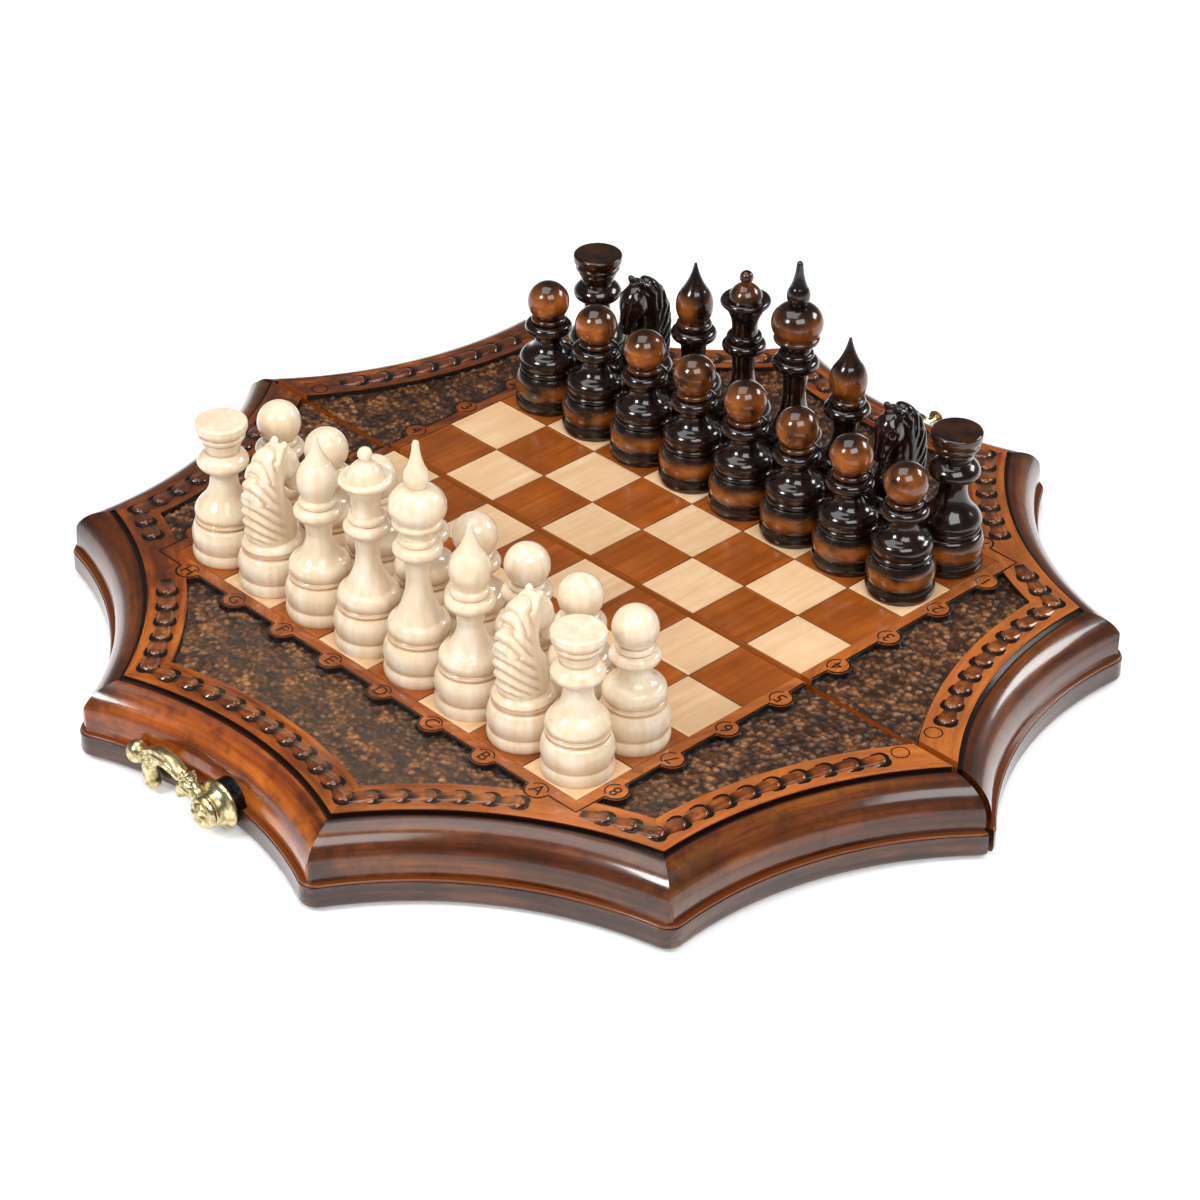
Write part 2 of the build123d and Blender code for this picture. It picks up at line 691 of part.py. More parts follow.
def knight():
    """Carved horse with an arched neck and a fluted mane, on the turned base's disc."""
    disc_z = FOOT_H + BELLY_H + 0.4
    disc_top = FOOT_H + BELLY_H + KNIGHT_DISC_H
    steps = foot_and_belly()
    steps.append(((RING_R, (disc_z + disc_top) / 2), (RING_R - 1.6, disc_top)))
    steps.append((0.0, disc_top))
    base = turned(steps)
    side = extrude(horse_side(), KNIGHT_NECK_W / 2, both=True)
    front = extrude(horse_front(), KNIGHT_NECK_W, both=True)
    horse = side & front
    for flute in range(MANE_FLUTES):
        share = flute / (MANE_FLUTES - 1)
        z = disc_top + 5.5 + 19.0 * share
        y = -5.0 + 4.6 * share
        for hand in (-1, 1):
            x = hand * (KNIGHT_NECK_W / 2 + 0.4 - 0.7 * share)
            groove = Pos(x, y, z) * Rot(-50 + 14 * share, 0, 0) * Cylinder(MANE_FLUTE_R, 15)
            horse -= groove
    return base + horse


def set_up():
    """Every chess piece: name, shape, column, row, and whether it faces the dark side."""
    shapes = {"rook": rook(), "knight": knight(), "bishop": bishop(), "queen": queen(), "king": king()}
    pawn_shape = pawn()
    back_rank = ["rook", "knight", "bishop", "queen", "king", "bishop", "knight", "rook"]
    pieces = []
    for colour, back_row, pawn_row in (("light", 0, 1), ("dark", SQUARES - 1, SQUARES - 2)):
        counts = {}
        for column, kind in enumerate(back_rank):
            counts[kind] = counts.get(kind, 0) + 1
            name = f"{colour}_{kind}"
            if back_rank.count(kind) > 1:
                name = f"{name}_{counts[kind]}"
            pieces.append((name, shapes[kind], column, back_row, colour == "light"))
        for column in range(SQUARES):
            pieces.append((f"{colour}_pawn_{column + 1}", pawn_shape, column, pawn_row, colour == "light"))
    return pieces


def far(shape):
    """The same part on the far half."""
    return mirror(shape, Plane.XZ)


def save(node, solids):
    """Write one node as a STEP file."""
    shape = solids
    if isinstance(solids, list):
        shape = Compound(children=[solid for part in solids for solid in part.solids()])
    export_step(shape, os.path.join("parts", f"{node}.step"))


def main():
    os.makedirs("parts", exist_ok=True)
    band = base_band()
    moulding = rim_moulding()
    frame_solids = [band] + moulding
    for side, place in (("near", lambda shape: shape), ("far", far)):
        first = 0 if side == "near" else 1
        bore = PIN_R if side == "near" else PIN_R + PIN_PLAY
        save(f"{side}_top_panel", place(top_panel()))
        save(f"{side}_rim_moulding", [place(length) for length in moulding])
        save(f"{side}_base_band", place(band))
        save(f"{side}_fold_rail", place(fold_rail()))
        save(f"{side}_hinge_leaves", [place(leaf) for leaf in hinge_leaves(first, bore)])
        save(f"{side}_hinge_screws", [place(screw) for screw in hinge_screws()])
        light_near = side == "near"
        save(f"{side}_light_squares", [place(tile) for tile in square_tiles(light_near)])
        save(f"{side}_dark_squares", [place(tile) for tile in square_tiles(not light_near)])
    save("hinge_pins", hinge_pins())
    save("latch_backplate", side_plate(BACKPLATE_R, PIVOT_Z, frame_solids))
    save("latch_pivot_screw", pivot_screw())
    save("latch_hook", latch_hook())
    save("catch_plate", far(side_plate(CATCH_PLATE_R, stud_z(), frame_solids)))
    save("catch_stud", far(catch_stud()))
    for name, shape, column, row, faces_dark in set_up():
        x, y = square_place(column, row)
        turn = 0 if faces_dark else 180
        save(name, Pos(x, y, TOP_Z) * Rot(0, 0, turn) * shape)


main()
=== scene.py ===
import math

import bmesh
import bpy
from mathutils import Matrix, Vector, noise


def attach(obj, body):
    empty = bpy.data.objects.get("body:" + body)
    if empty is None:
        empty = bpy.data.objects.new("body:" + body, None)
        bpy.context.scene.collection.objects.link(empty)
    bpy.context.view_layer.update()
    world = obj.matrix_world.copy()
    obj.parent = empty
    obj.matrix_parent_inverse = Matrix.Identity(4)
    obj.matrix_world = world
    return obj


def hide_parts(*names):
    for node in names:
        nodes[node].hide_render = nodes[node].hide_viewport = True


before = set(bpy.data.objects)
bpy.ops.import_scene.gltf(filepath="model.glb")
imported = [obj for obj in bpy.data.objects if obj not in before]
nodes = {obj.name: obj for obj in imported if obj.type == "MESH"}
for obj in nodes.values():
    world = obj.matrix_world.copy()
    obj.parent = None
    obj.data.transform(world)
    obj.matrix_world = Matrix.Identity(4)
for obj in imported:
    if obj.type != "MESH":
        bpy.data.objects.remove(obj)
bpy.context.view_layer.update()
MM = 0.001


# Camera: the angle, distance and lens of the photograph, fitted to the board's grid.
# A long lens from 33 degrees above the table, turned 46 degrees from the light player's side.
CAMERA_AZIMUTH = math.radians(45.56)
CAMERA_ELEVATION = math.radians(33.16)
CAMERA_ROLL = math.radians(0.684)
CAMERA_DISTANCE = 1.3246
CAMERA_TARGET = Vector((0.0244, -0.0173, 0.0304))
CAMERA_LENS = 108.2
FILM_WIDTH = 36


def direction(azimuth, elevation):
    flat = math.cos(elevation)
    return Vector((math.sin(azimuth) * flat, -math.cos(azimuth) * flat, math.sin(elevation)))


back = direction(CAMERA_AZIMUTH, CAMERA_ELEVATION)
level = Vector((math.cos(CAMERA_AZIMUTH), math.sin(CAMERA_AZIMUTH), 0))
rise = back.cross(level)
turned_x = math.cos(CAMERA_ROLL) * level + math.sin(CAMERA_ROLL) * rise
turned_y = math.cos(CAMERA_ROLL) * rise - math.sin(CAMERA_ROLL) * level
camera_data = bpy.data.cameras.new("camera")
camera_data.lens = CAMERA_LENS
camera_data.sensor_width = FILM_WIDTH
camera = bpy.data.objects.new("camera", camera_data)
bpy.context.scene.collection.objects.link(camera)
camera.matrix_world = Matrix.LocRotScale(
    CAMERA_TARGET + back * CAMERA_DISTANCE,
    Matrix((turned_x, turned_y, back)).transposed().to_quaternion(),
    None,
)
bpy.context.scene.camera = camera
bpy.context.scene.view_settings.view_transform = "Standard"


# Room: a white table top and soft boxes to the left, right and above, as in a product photograph.
# The table top is painted board; the lamps are large so that their shadows and reflections are soft.
TABLE_WHITE = 0.80
TABLE_LIFT = 0.32
TABLE_RADIUS = 14
WORLD_LOW = 0.34
WORLD_MIDDLE = 0.12
WORLD_HIGH = 0.10
LEFT_BOX_WATTS = 9.0
RIGHT_BOX_WATTS = 6.5
TOP_BOX_WATTS = 7.5
FRONT_FILL_WATTS = 11.0
FRONT_TOP_WATTS = 7.5


def add_node(tree, kind, links=None, stops=None, **settings):
    """One node with its settings, its linked or set sockets and, for a ramp, its colour stops."""
    node = tree.nodes.new(kind)
    for name, value in settings.items():
        setattr(node, name, value)
    for name, value in (links or {}).items():
        if isinstance(value, bpy.types.NodeSocket):
            tree.links.new(value, node.inputs[name])
        else:
            node.inputs[name].default_value = value
    if stops:
        elements = node.color_ramp.elements
        while len(elements) < len(stops):
            elements.new(0.5)
        for element, (place, colour) in zip(elements, stops):
            element.position = place
            element.color = colour
    return node


def shade(code):
    """An sRGB hex colour as the linear RGBA that nodes take."""
    parts = [int(code[place : place + 2], 16) / 255 for place in (1, 3, 5)]
    return [p / 12.92 if p <= 0.04045 else ((p + 0.055) / 1.055) ** 2.4 for p in parts] + [1]


def grey(level_):
    return (level_, level_, level_, 1)


def new_material(name):
    material = bpy.data.materials.new(name)
    material.use_nodes = True
    material.node_tree.nodes.clear()
    return material, material.node_tree


def reckon(tree, operation, *values):
    """The result of one sum."""
    return add_node(tree, "ShaderNodeMath", dict(enumerate(values)), operation=operation).outputs[0]


def parted(tree, point):
    """The three sockets of a point."""
    return add_node(tree, "ShaderNodeSeparateXYZ", {0: point}).outputs


def coloured(tree, value, stops):
    """A colour or grey picked from stops by a value."""
    return add_node(tree, "ShaderNodeValToRGB", {"Fac": value}, stops).outputs[0]


bpy.ops.object.select_all(action="DESELECT")
bpy.ops.mesh.primitive_circle_add(vertices=96, radius=TABLE_RADIUS, fill_type="NGON", location=(0, 0, 0))
table_top = bpy.context.object
table_top.name = "table_top"
paint, tree = new_material("white_table_paint")
light_path = add_node(tree, "ShaderNodeLightPath").outputs
seen = reckon(tree, "MAXIMUM", light_path["Is Camera Ray"], light_path["Is Glossy Ray"])
seen = reckon(tree, "MAXIMUM", seen, light_path["Is Transmission Ray"])
lift = reckon(tree, "MULTIPLY", seen, TABLE_LIFT)
paint_diffuse = add_node(tree, "ShaderNodeBsdfDiffuse", {"Color": grey(TABLE_WHITE)})
paint_lift = add_node(tree, "ShaderNodeEmission", {"Color": grey(1.0), "Strength": lift})
paint_sum = add_node(tree, "ShaderNodeAddShader", {0: paint_diffuse.outputs[0], 1: paint_lift.outputs[0]})
add_node(tree, "ShaderNodeOutputMaterial", {"Surface": paint_sum.outputs[0]})
table_top.data.materials.append(paint)

world = bpy.data.worlds.new("studio")
world.use_nodes = True
bpy.context.scene.world = world
world.node_tree.nodes.clear()
tree = world.node_tree
sky_height = parted(tree, add_node(tree, "ShaderNodeTexCoord").outputs["Generated"])["Z"]
sky_stops = [(0.03, grey(WORLD_LOW)), (0.24, grey(WORLD_MIDDLE)), (0.50, grey(WORLD_HIGH))]
background = add_node(
    tree, "ShaderNodeBackground", {"Color": coloured(tree, sky_height, sky_stops), "Strength": 1.0}
)
add_node(tree, "ShaderNodeOutputWorld", {"Surface": background.outputs[0]})


def soft_box(name, azimuth, elevation, distance, width, height, watts):
    """A square lamp that looks at the middle of the board."""
    lamp_data = bpy.data.lights.new(name, "AREA")
    lamp_data.shape = "RECTANGLE"
    lamp_data.size = width
    lamp_data.size_y = height
    lamp_data.energy = watts
    lamp = bpy.data.objects.new(name, lamp_data)
    bpy.context.scene.collection.objects.link(lamp)
    towards = direction(math.radians(azimuth), math.radians(elevation))
    lamp.location = towards * distance
    lamp.rotation_mode = "QUATERNION"
    lamp.rotation_quaternion = towards.to_track_quat("Z", "Y")


soft_box("left_soft_box", -12, 42, 1.35, 0.30, 0.34, LEFT_BOX_WATTS)
soft_box("right_soft_box", 156, 32, 1.35, 0.55, 0.32, RIGHT_BOX_WATTS)
soft_box("top_soft_box", -60, 78, 1.30, 0.90, 0.90, TOP_BOX_WATTS)
soft_box("front_top_soft_box", 66, 52, 1.35, 0.80, 0.55, FRONT_TOP_WATTS)
soft_box("front_fill", 62, 26, 2.00, 1.60, 1.00, FRONT_FILL_WATTS)
bpy.data.objects["front_fill"].visible_glossy = False


# Star frame: ten-sided outline whose concave sides are arcs about centres outside the box.
# The moulding is solid walnut in mitred lengths, the grain running along each side.
SIDES = 10
SECTOR = 2 * math.pi / SIDES
SIDE_CENTRE = 322.81
FLAT_MID = 163.9
POCKET_MID = 149.5
TOP = 30.4
GRAIN_RADIUS = 150.0
GRAIN_JUMP = 371.0
GROOVE_INSIDE = 1.6
BEAD_LOW = 9.6
BEAD_HIGH = 11.8


def plain_coordinates(tree):
    """The object's own place in mm, and its height alone."""
    place = add_node(tree, "ShaderNodeTexCoord").outputs["Object"]
    scaled = add_node(tree, "ShaderNodeVectorMath", {0: place, "Scale": 1 / MM}, operation="SCALE")
    return scaled.outputs[0], parted(tree, scaled.outputs[0])["Z"]


def vector(tree, operation, first, second):
    """The result of one sum of two vectors."""
    return add_node(tree, "ShaderNodeVectorMath", {0: first, 1: second}, operation=operation).outputs[0]


def side_coordinates(tree):
    """A point as the grain sees it (along its side, out, up), side, distance out, height, share of side."""
    place, height = plain_coordinates(tree)
    x, y, _ = parted(tree, place)
    turns = reckon(tree, "DIVIDE", reckon(tree, "ARCTAN2", y, x), SECTOR)
    side = reckon(tree, "FLOOR", turns)
    middle = reckon(tree, "MULTIPLY_ADD", side, -SECTOR, -SECTOR / 2)
    turned = add_node(
        tree, "ShaderNodeVectorRotate", {"Vector": place, "Angle": middle}, rotation_type="Z_AXIS"
    )
    moved = vector(tree, "SUBTRACT", turned.outputs[0], (SIDE_CENTRE, 0, 0))
    flat = vector(tree, "MULTIPLY", moved, (1, 1, 0))
    out = add_node(tree, "ShaderNodeVectorMath", {0: flat}, operation="LENGTH").outputs["Value"]
    swung_x, swung_y, _ = parted(tree, moved)
    sweep = reckon(tree, "ARCTAN2", swung_y, reckon(tree, "MULTIPLY", swung_x, -1.0))
    along = reckon(tree, "MULTIPLY_ADD", side, GRAIN_JUMP, reckon(tree, "MULTIPLY", sweep, GRAIN_RADIUS))
    joined = add_node(tree, "ShaderNodeCombineXYZ", {0: along, 1: out, 2: height})
    return joined.outputs[0], side, out, height, reckon(tree, "FRACT", turns)


def stained(tree, colour, amount, tint):
    """The colour, turned to the tint (a hex code or a socket) where amount is high."""
    second = shade(tint) if isinstance(tint, str) else tint
    links = {"Factor": amount, 6: colour, 7: second}
    return add_node(tree, "ShaderNodeMix", links, data_type="RGBA").outputs[2]


def ranged(tree, value, low, high, to_low, to_high):
    """A value moved from one range to another, and kept inside it."""
    links = {"Value": value, "From Min": low, "From Max": high, "To Min": to_low, "To Max": to_high}
    return add_node(tree, "ShaderNodeMapRange", links).outputs[0]


def product(tree, first, second):
    return reckon(tree, "MULTIPLY", first, second)


def noisy(tree, point, size_mm, detail, roughness):
    """Cloudy noise whose patches are about size_mm wide."""
    links = {"Vector": point, "Scale": 1 / size_mm, "Detail": detail, "Roughness": roughness}
    return add_node(tree, "ShaderNodeTexNoise", links).outputs["Fac"]


def patches(tree, point, size_mm, low, high):
    """Cloudy amount from 0 to 1 whose patches are about size_mm wide."""
    return ranged(tree, noisy(tree, point, size_mm, 4.0, 0.6), low, high, 0.0, 1.0)


def apart(tree, value, middle):
    """How far a value is from a middle value."""
    return reckon(tree, "ABSOLUTE", reckon(tree, "SUBTRACT", value, middle))


def wood_grain(tree, point, stretch, dark, middle, pale, streak_mm, contrast=1.0):
    """Colour and bump height of close-grained wood: growth streaks, fine pores and cloudy stain."""
    stretched = vector(tree, "MULTIPLY", point, stretch)
    growth = noisy(tree, stretched, streak_mm, 5.0, 0.62)
    pores = noisy(tree, stretched, streak_mm / 3.4, 3.0, 0.7)
    cloud = noisy(tree, point, 22.0, 3.0, 0.55)
    spread = 0.16 / contrast
    stops = [(0.5 - spread, shade(dark)), (0.5, shade(middle)), (0.5 + spread, shade(pale))]
    streaks = coloured(tree, growth, stops)
    pored = stained(tree, streaks, ranged(tree, pores, 0.58, 0.72, 0.0, 0.55 * contrast), dark)
    clouded = stained(tree, pored, ranged(tree, cloud, 0.42, 0.68, 0.0, 0.6 * contrast), dark)
    return clouded, growth


def lacquered(tree, colour, height, roughness=0.32, coat=1.0, coat_roughness=0.06, bump=0.02):
    """Wood under a clear gloss lacquer: a rougher base that shows the grain and a smooth coat."""
    bumped = add_node(tree, "ShaderNodeBump", {"Height": height, "Strength": 0.5, "Distance": bump * MM})
    links = {
        "Base Color": colour,
        "Roughness": roughness,
        "IOR": 1.5,
        "Specular IOR Level": 0.18,
        "Coat Weight": coat,
        "Coat Roughness": coat_roughness,
        "Coat IOR": 1.5,
        "Normal": bumped.outputs[0],
        "Coat Normal": bumped.outputs[0],
    }
    shader = add_node(tree, "ShaderNodeBsdfPrincipled", links)
    add_node(tree, "ShaderNodeOutputMaterial", {"Surface": shader.outputs[0]})


def dress(name, material):
    """Give a CAD node a material of this script."""
    data = nodes[name].data
    data.materials.clear()
    data.materials.append(material)


# Stained walnut with clear lacquer over it: dark reddish brown, streaked, glossy as syrup.
walnut, tree = new_material("lacquered_walnut_moulding")
point, side, out, height, share = side_coordinates(tree)
along_side = (0.055, 1.0, 1.0)
colour, growth = wood_grain(tree, point, along_side, "#2E1408", "#64300E", "#8C4E16", 5.2, 0.8)
warm, _ = wood_grain(tree, point, along_side, "#5A240A", "#A85218", "#C66E24", 5.2, 0.85)
front_left = reckon(tree, "COMPARE", side, -3.0, 0.6)
colour = stained(tree, colour, front_left, warm)
near_point = ranged(tree, apart(tree, share, 0.5), 0.30, 0.5, 0.0, 0.85)
mitre = product(tree, near_point, patches(tree, point, 14.0, 0.34, 0.58))
colour = stained(tree, colour, mitre, "#1C0C05")
colour = stained(tree, colour, product(tree, patches(tree, point, 6.0, 0.50, 0.72), 0.55), "#2A1006")
# Painted shade: the moulding is painted near black along the groove at its inner edge.
groove_r = SIDE_CENTRE - FLAT_MID - GROOVE_INSIDE
colour = stained(tree, colour, ranged(tree, out, groove_r - 0.5, groove_r, 0.0, 0.92), "#0E0603")
lacquered(tree, colour, growth, 0.34, 1.0, 0.14, 0.05)

band_walnut, tree = new_material("lacquered_walnut_band")
point, side, out, height, share = side_coordinates(tree)
colour, growth = wood_grain(tree, point, (0.07, 1.0, 1.0), "#28140E", "#492A1C", "#6C412B", 3.6)
# Painted highlight: a lighter orange-brown band along the middle of the bead.
bead_highlight_steps = ((0.0, 0), (0.50, 0), (0.60, 1), (0.80, 1), (0.90, 0.2), (1.0, 0))
bead_highlight = coloured(
    tree,
    ranged(tree, height, BEAD_LOW, BEAD_HIGH, 0.0, 1.0),
    [(place, grey(amount)) for place, amount in bead_highlight_steps],
)
lacquered(tree, stained(tree, colour, bead_highlight, "#743812"), growth, 0.34, 0.9, 0.12, 0.05)

rail_wood, tree = new_material("sawn_orange_walnut_rail")
point, height = plain_coordinates(tree)
colour, growth = wood_grain(tree, point, (0.05, 1.0, 1.0), "#6A2C0C", "#A6521A", "#C87428", 2.6)
lacquered(tree, colour, growth, 0.4, 0.6, 0.2, 0.06)
for half in ("near", "far"):
    dress(f"{half}_rim_moulding", walnut)
    dress(f"{half}_base_band", band_walnut)
    dress(f"{half}_fold_rail", rail_wood)


# Carved top: beech panel stained orange brown, its pockets sunk, with burn and painted shade dark round the
# lobes.
# The flat rim keeps the saw-cut grain; walls of the pockets are painted almost black as shade.
BRAID_MID = 156.9
WARM_LIT_SIDE = (30.0, 120.0)
HAZY_SIDE = (-40.0, 110.0)
SHEEN_SHADE_SIDE = (-150.0, -70.0)

carved_top, tree = new_material("stained_beech_top")
point, side, out, height, share = side_coordinates(tree)
across, from_fold, _ = parted(tree, plain_coordinates(tree)[0])
colour, rim_growth = wood_grain(tree, point, (0.09, 1.0, 1.0), "#5A260C", "#A04E16", "#BA6A26", 3.4)
ring_gap = apart(tree, out, SIDE_CENTRE - BRAID_MID)
haze = product(tree, ranged(tree, ring_gap, 2.6, 5.2, 0.62, 0.0), patches(tree, point, 4.0, 0.30, 0.60))
haze = product(tree, haze, ranged(tree, across, *HAZY_SIDE, 1.0, 0.42))
colour = stained(tree, colour, haze, "#2C1208")
# Painted sheen and shade: the rim is painted darker and greyer towards the left end.
stain_and_shade = product(tree, ranged(tree, across, *SHEEN_SHADE_SIDE, 0.85, 0.0), patches(tree, point, 9.0, 0.30, 0.56))
colour = stained(tree, colour, stain_and_shade, "#4A281C")
# Painted light: the rim is painted lighter and warmer towards the right end.
colour = stained(tree, colour, ranged(tree, across, *WARM_LIT_SIDE, 0.0, 0.35), "#CE7A3C")
specks = product(tree, patches(tree, point, 1.3, 0.56, 0.66), ranged(tree, across, *HAZY_SIDE, 0.45, 0.25))
colour = stained(tree, colour, specks, "#40200F")
# Painted shade: the walls of the pockets, below the top, are painted near black.
colour = stained(tree, colour, ranged(tree, height, TOP - 0.5, TOP - 0.05, 1.0, 0.0), "#140905")
colour = stained(tree, colour, reckon(tree, "COMPARE", from_fold, 0.0, 1.5), "#9A4C18")
lacquered(tree, colour, rim_growth, 0.34, 0.9, 0.12, 0.10)
for half in ("near", "far"):
    dress(f"{half}_top_panel", carved_top)


# Pocket floors: the sunk ground is beaten with a punch into small round pebbles.
# Glossy dark brown, each pebble catching its own spark of light, the hollows between them painted dark as
# shade.
BORDER_X = 113.2
BORDER_Y = 114.6
LOBE_R = 5.2
SQUARE = 27.0
GAP = 1.4
POCKET_FLOOR = 28.0
PEBBLE = 2.2
PEBBLE_STEP = 0.56
FACET_LEAN = 0.45
FLOOR_WIDE = 340
FLOOR_DEEP = 160
FLOOR_MIDDLE = -81.2


def column_x(column):
    """The middle of a column of squares."""
    return (column - 3.5) * SQUARE


def row_y(row):
    """The middle of a row of the near half, counted from the fold."""
    return -GAP - (row + 0.5) * SQUARE


def lobes():
    """Middles of the label lobes of the near half and the way out from each."""
    places = [(column_x(column), -BORDER_Y, 0, -1) for column in range(8)]
    for row in range(4):
        places += [(BORDER_X, row_y(row), 1, 0), (-BORDER_X, row_y(row), -1, 0)]
    return places


def side_distance(x, y):
    """How far a point is from the centre of its side's arc."""
    angle = (math.floor(math.atan2(y, x) / SECTOR) + 0.5) * SECTOR
    return math.hypot(x - SIDE_CENTRE * math.cos(angle), y - SIDE_CENTRE * math.sin(angle))


def border_gap(x, y):
    """Distance from the lobed border, negative inside it."""
    dx = abs(x) - BORDER_X
    dy = abs(y) - BORDER_Y
    gap = math.hypot(max(dx, 0), max(dy, 0)) + min(max(dx, dy), 0)
    for lobe_x, lobe_y, _, _ in lobes():
        gap = min(gap, math.hypot(x - lobe_x, y - lobe_y) - LOBE_R)
    return gap


def smoothed(made):
    """The piece, shaded smooth."""
    for polygon in made.data.polygons:
        polygon.use_smooth = True
    return made


def facet_lean(centre, stride):
    """How steeply one pebble's top leans, chosen by where the pebble lies."""
    return FACET_LEAN * math.sin(1000 * math.sin(stride * centre.x + 1.7 * stride * centre.y))


def pocket_floor():
    """Beaten ground of the near half's pockets, with how close it is to the walls, where burn and painted
    shade darken it.
    """
    bpy.ops.object.select_all(action="DESELECT")
    bpy.ops.mesh.primitive_grid_add(
        x_subdivisions=int(FLOOR_WIDE / PEBBLE_STEP), y_subdivisions=int(FLOOR_DEEP / PEBBLE_STEP), size=1
    )
    floor = bpy.context.object
    floor.data.transform(
        Matrix.Translation((0, FLOOR_MIDDLE * MM, 0))
        @ Matrix.Diagonal((FLOOR_WIDE * MM, FLOOR_DEEP * MM, 1, 1))
    )
    mesh = bmesh.new()
    mesh.from_mesh(floor.data)
    layer = mesh.verts.layers.float.new("scorch_and_shade")
    outside = []
    for vertex in mesh.verts:
        x, y = vertex.co.x / MM, vertex.co.y / MM
        gap = border_gap(x, y)
        rim_gap = side_distance(x, y) - (SIDE_CENTRE - POCKET_MID)
        if gap < -0.5 or rim_gap < -0.6:
            outside.append(vertex)
            continue
        distances, centres = noise.voronoi((x / PEBBLE, y / PEBBLE, 0.0))
        dome = min(1.0, (distances[1] - distances[0]) / 0.42)
        away = Vector((x / PEBBLE, y / PEBBLE, 0.0)) - centres[0]
        lean = away.x * facet_lean(centres[0], 3.7) + away.y * facet_lean(centres[0], 8.9)
        crown = 0.34 + 0.56 * noise.cell(centres[0] * 7.3)
        shape = dome * (2 - dome) * (crown + lean)
        vertex.co.z = (POCKET_FLOOR + 0.05 + max(0.0, shape)) * MM
        # Darkness near the walls: burn and painted shade.
        vertex[layer] = max(0.0, min(1.0, 1.35 - min(gap / 1.9, rim_gap / 0.8)))
    bmesh.ops.delete(mesh, geom=outside, context="VERTS")
    mesh.to_mesh(floor.data)
    mesh.free()
    return smoothed(floor)


def on_both_halves(near_piece, name, material):
    """Dress the near half's piece, and add its mirror image across the fold for the far half."""
    near_piece.name = f"near_{name}"
    near_piece.data.materials.append(material)
    far_piece = near_piece.copy()
    far_piece.data = near_piece.data.copy()
    far_piece.name = f"far_{name}"
    bpy.context.scene.collection.objects.link(far_piece)
    far_piece.data.transform(Matrix.Diagonal((1, -1, 1, 1)))
    far_piece.data.flip_normals()
    for half, piece in (("near", near_piece), ("far", far_piece)):
        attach(piece, f"{half}_half")


beaten, tree = new_material("beaten_scorched_shaded_beech")
point, height = plain_coordinates(tree)
colour, _ = wood_grain(tree, point, (0.5, 1.0, 1.0), "#3A1C0B", "#7A481E", "#A46C36", 5.0)
scorch_and_shade = add_node(tree, "ShaderNodeAttribute", attribute_name="scorch_and_shade").outputs["Fac"]
# Painted shade: the hollows between the pebbles are painted near black.
pit_shade = ranged(tree, height, POCKET_FLOOR, POCKET_FLOOR + 0.62, 0.95, 0.0)
colour = stained(tree, colour, reckon(tree, "MAXIMUM", scorch_and_shade, pit_shade), "#0C0604")
lacquered(tree, colour, noisy(tree, point, 0.7, 3.0, 0.7), 0.40, 1.0, 0.04, 0.6)
on_both_halves(pocket_floor(), "pocket_floor", beaten)


# Laurel: a braid of rounded leaves carved along the middle of the flat rim, each lapping the next.
# The knife cut behind each leaf's head is darkened by burn and painted shade, each leaf's tail and edge carry
# painted shade, and the braid stops at the board's corners.
LEAF_PITCH = 9.6
LEAF_WIDTH = 3.3
LEAF_TAIL = 2.0
LEAF_RISE = 1.25
LEAF_BROAD = 0.66
CRESCENT_STEPS = 16


def leaf():
    """One leaf with its dark crescent of burn and painted shade, its tail at the origin and its head along
    +X.
    """
    bpy.ops.object.select_all(action="DESELECT")
    bpy.ops.mesh.primitive_grid_add(x_subdivisions=16, y_subdivisions=12, size=2)
    made = bpy.context.object
    layer = made.data.attributes.new("scorch_and_shade", "FLOAT", "POINT")
    long = LEAF_PITCH * 1.10
    for index, vertex in enumerate(made.data.vertices):
        u = (vertex.co.x + 1) / 2
        v = vertex.co.y
        grown = math.sin(min(u / LEAF_BROAD, 1) * math.pi / 2) ** 1.4
        reach = max(0.0, u - LEAF_BROAD) / (1 - LEAF_BROAD)
        half_width = (LEAF_TAIL + (LEAF_WIDTH - LEAF_TAIL) * grown) * math.sqrt(max(0.0, 1 - reach**2))
        swell = 0.12 + 0.88 * min(u / 0.8, 1.0) ** 1.2
        fall = math.sqrt(max(0.0, 1 - max(0.0, (u - 0.8) / 0.2) ** 2))
        vein = 0.10 * math.cos(v * math.pi * 3)
        round_ = math.sqrt(max(0.0, 1 - v**2))
        vertex.co.x = u * long
        vertex.co.y = v * half_width
        vertex.co.z = LEAF_RISE * swell * fall * round_ * (1 + vein * round_)
        # Painted shade on the leaf's edge and on its tail, which lies under the head of the leaf before.
        edge = 1 - round_ * fall
        rim = max(0.0, min(1.0, (edge - 0.42) / 0.4)) * max(0.0, u - 0.25) / 0.6
        tail = max(0.0, 1 - max(0.0, u - 0.16) / 0.22)
        layer.data[index].value = min(1.0, max(rim, 0.95 * tail))
    shape = bmesh.new()
    shape.from_mesh(made.data)
    scorch_and_shade_layer = shape.verts.layers.float["scorch_and_shade"]
    inner, outer = [], []
    for step in range(CRESCENT_STEPS + 1):
        angle = math.pi * 0.62 * (2 * step / CRESCENT_STEPS - 1)
        swing = math.cos(angle)
        across = math.sin(angle)
        wide = 0.6 + 0.7 * max(swing, 0) + 1.1 * abs(math.sin(2 * angle))
        if step in (0, CRESCENT_STEPS):
            wide = 0.1
        base_x = long * LEAF_BROAD + long * (1 - LEAF_BROAD) * swing
        base_y = LEAF_WIDTH * across
        inner.append(shape.verts.new((base_x - 0.8 * swing, base_y * 0.84, 0.02)))
        outer.append(shape.verts.new((base_x + wide * swing * 0.9, base_y + wide * across * 0.9, 0.02)))
    # The crescent is painted fully dark, as burn and shade in the knife cut.
    for vertex in inner + outer:
        vertex[scorch_and_shade_layer] = 1.0
    for step in range(CRESCENT_STEPS):
        shape.faces.new((inner[step], outer[step], outer[step + 1], inner[step + 1]))
    shape.to_mesh(made.data)
    shape.free()
    return made


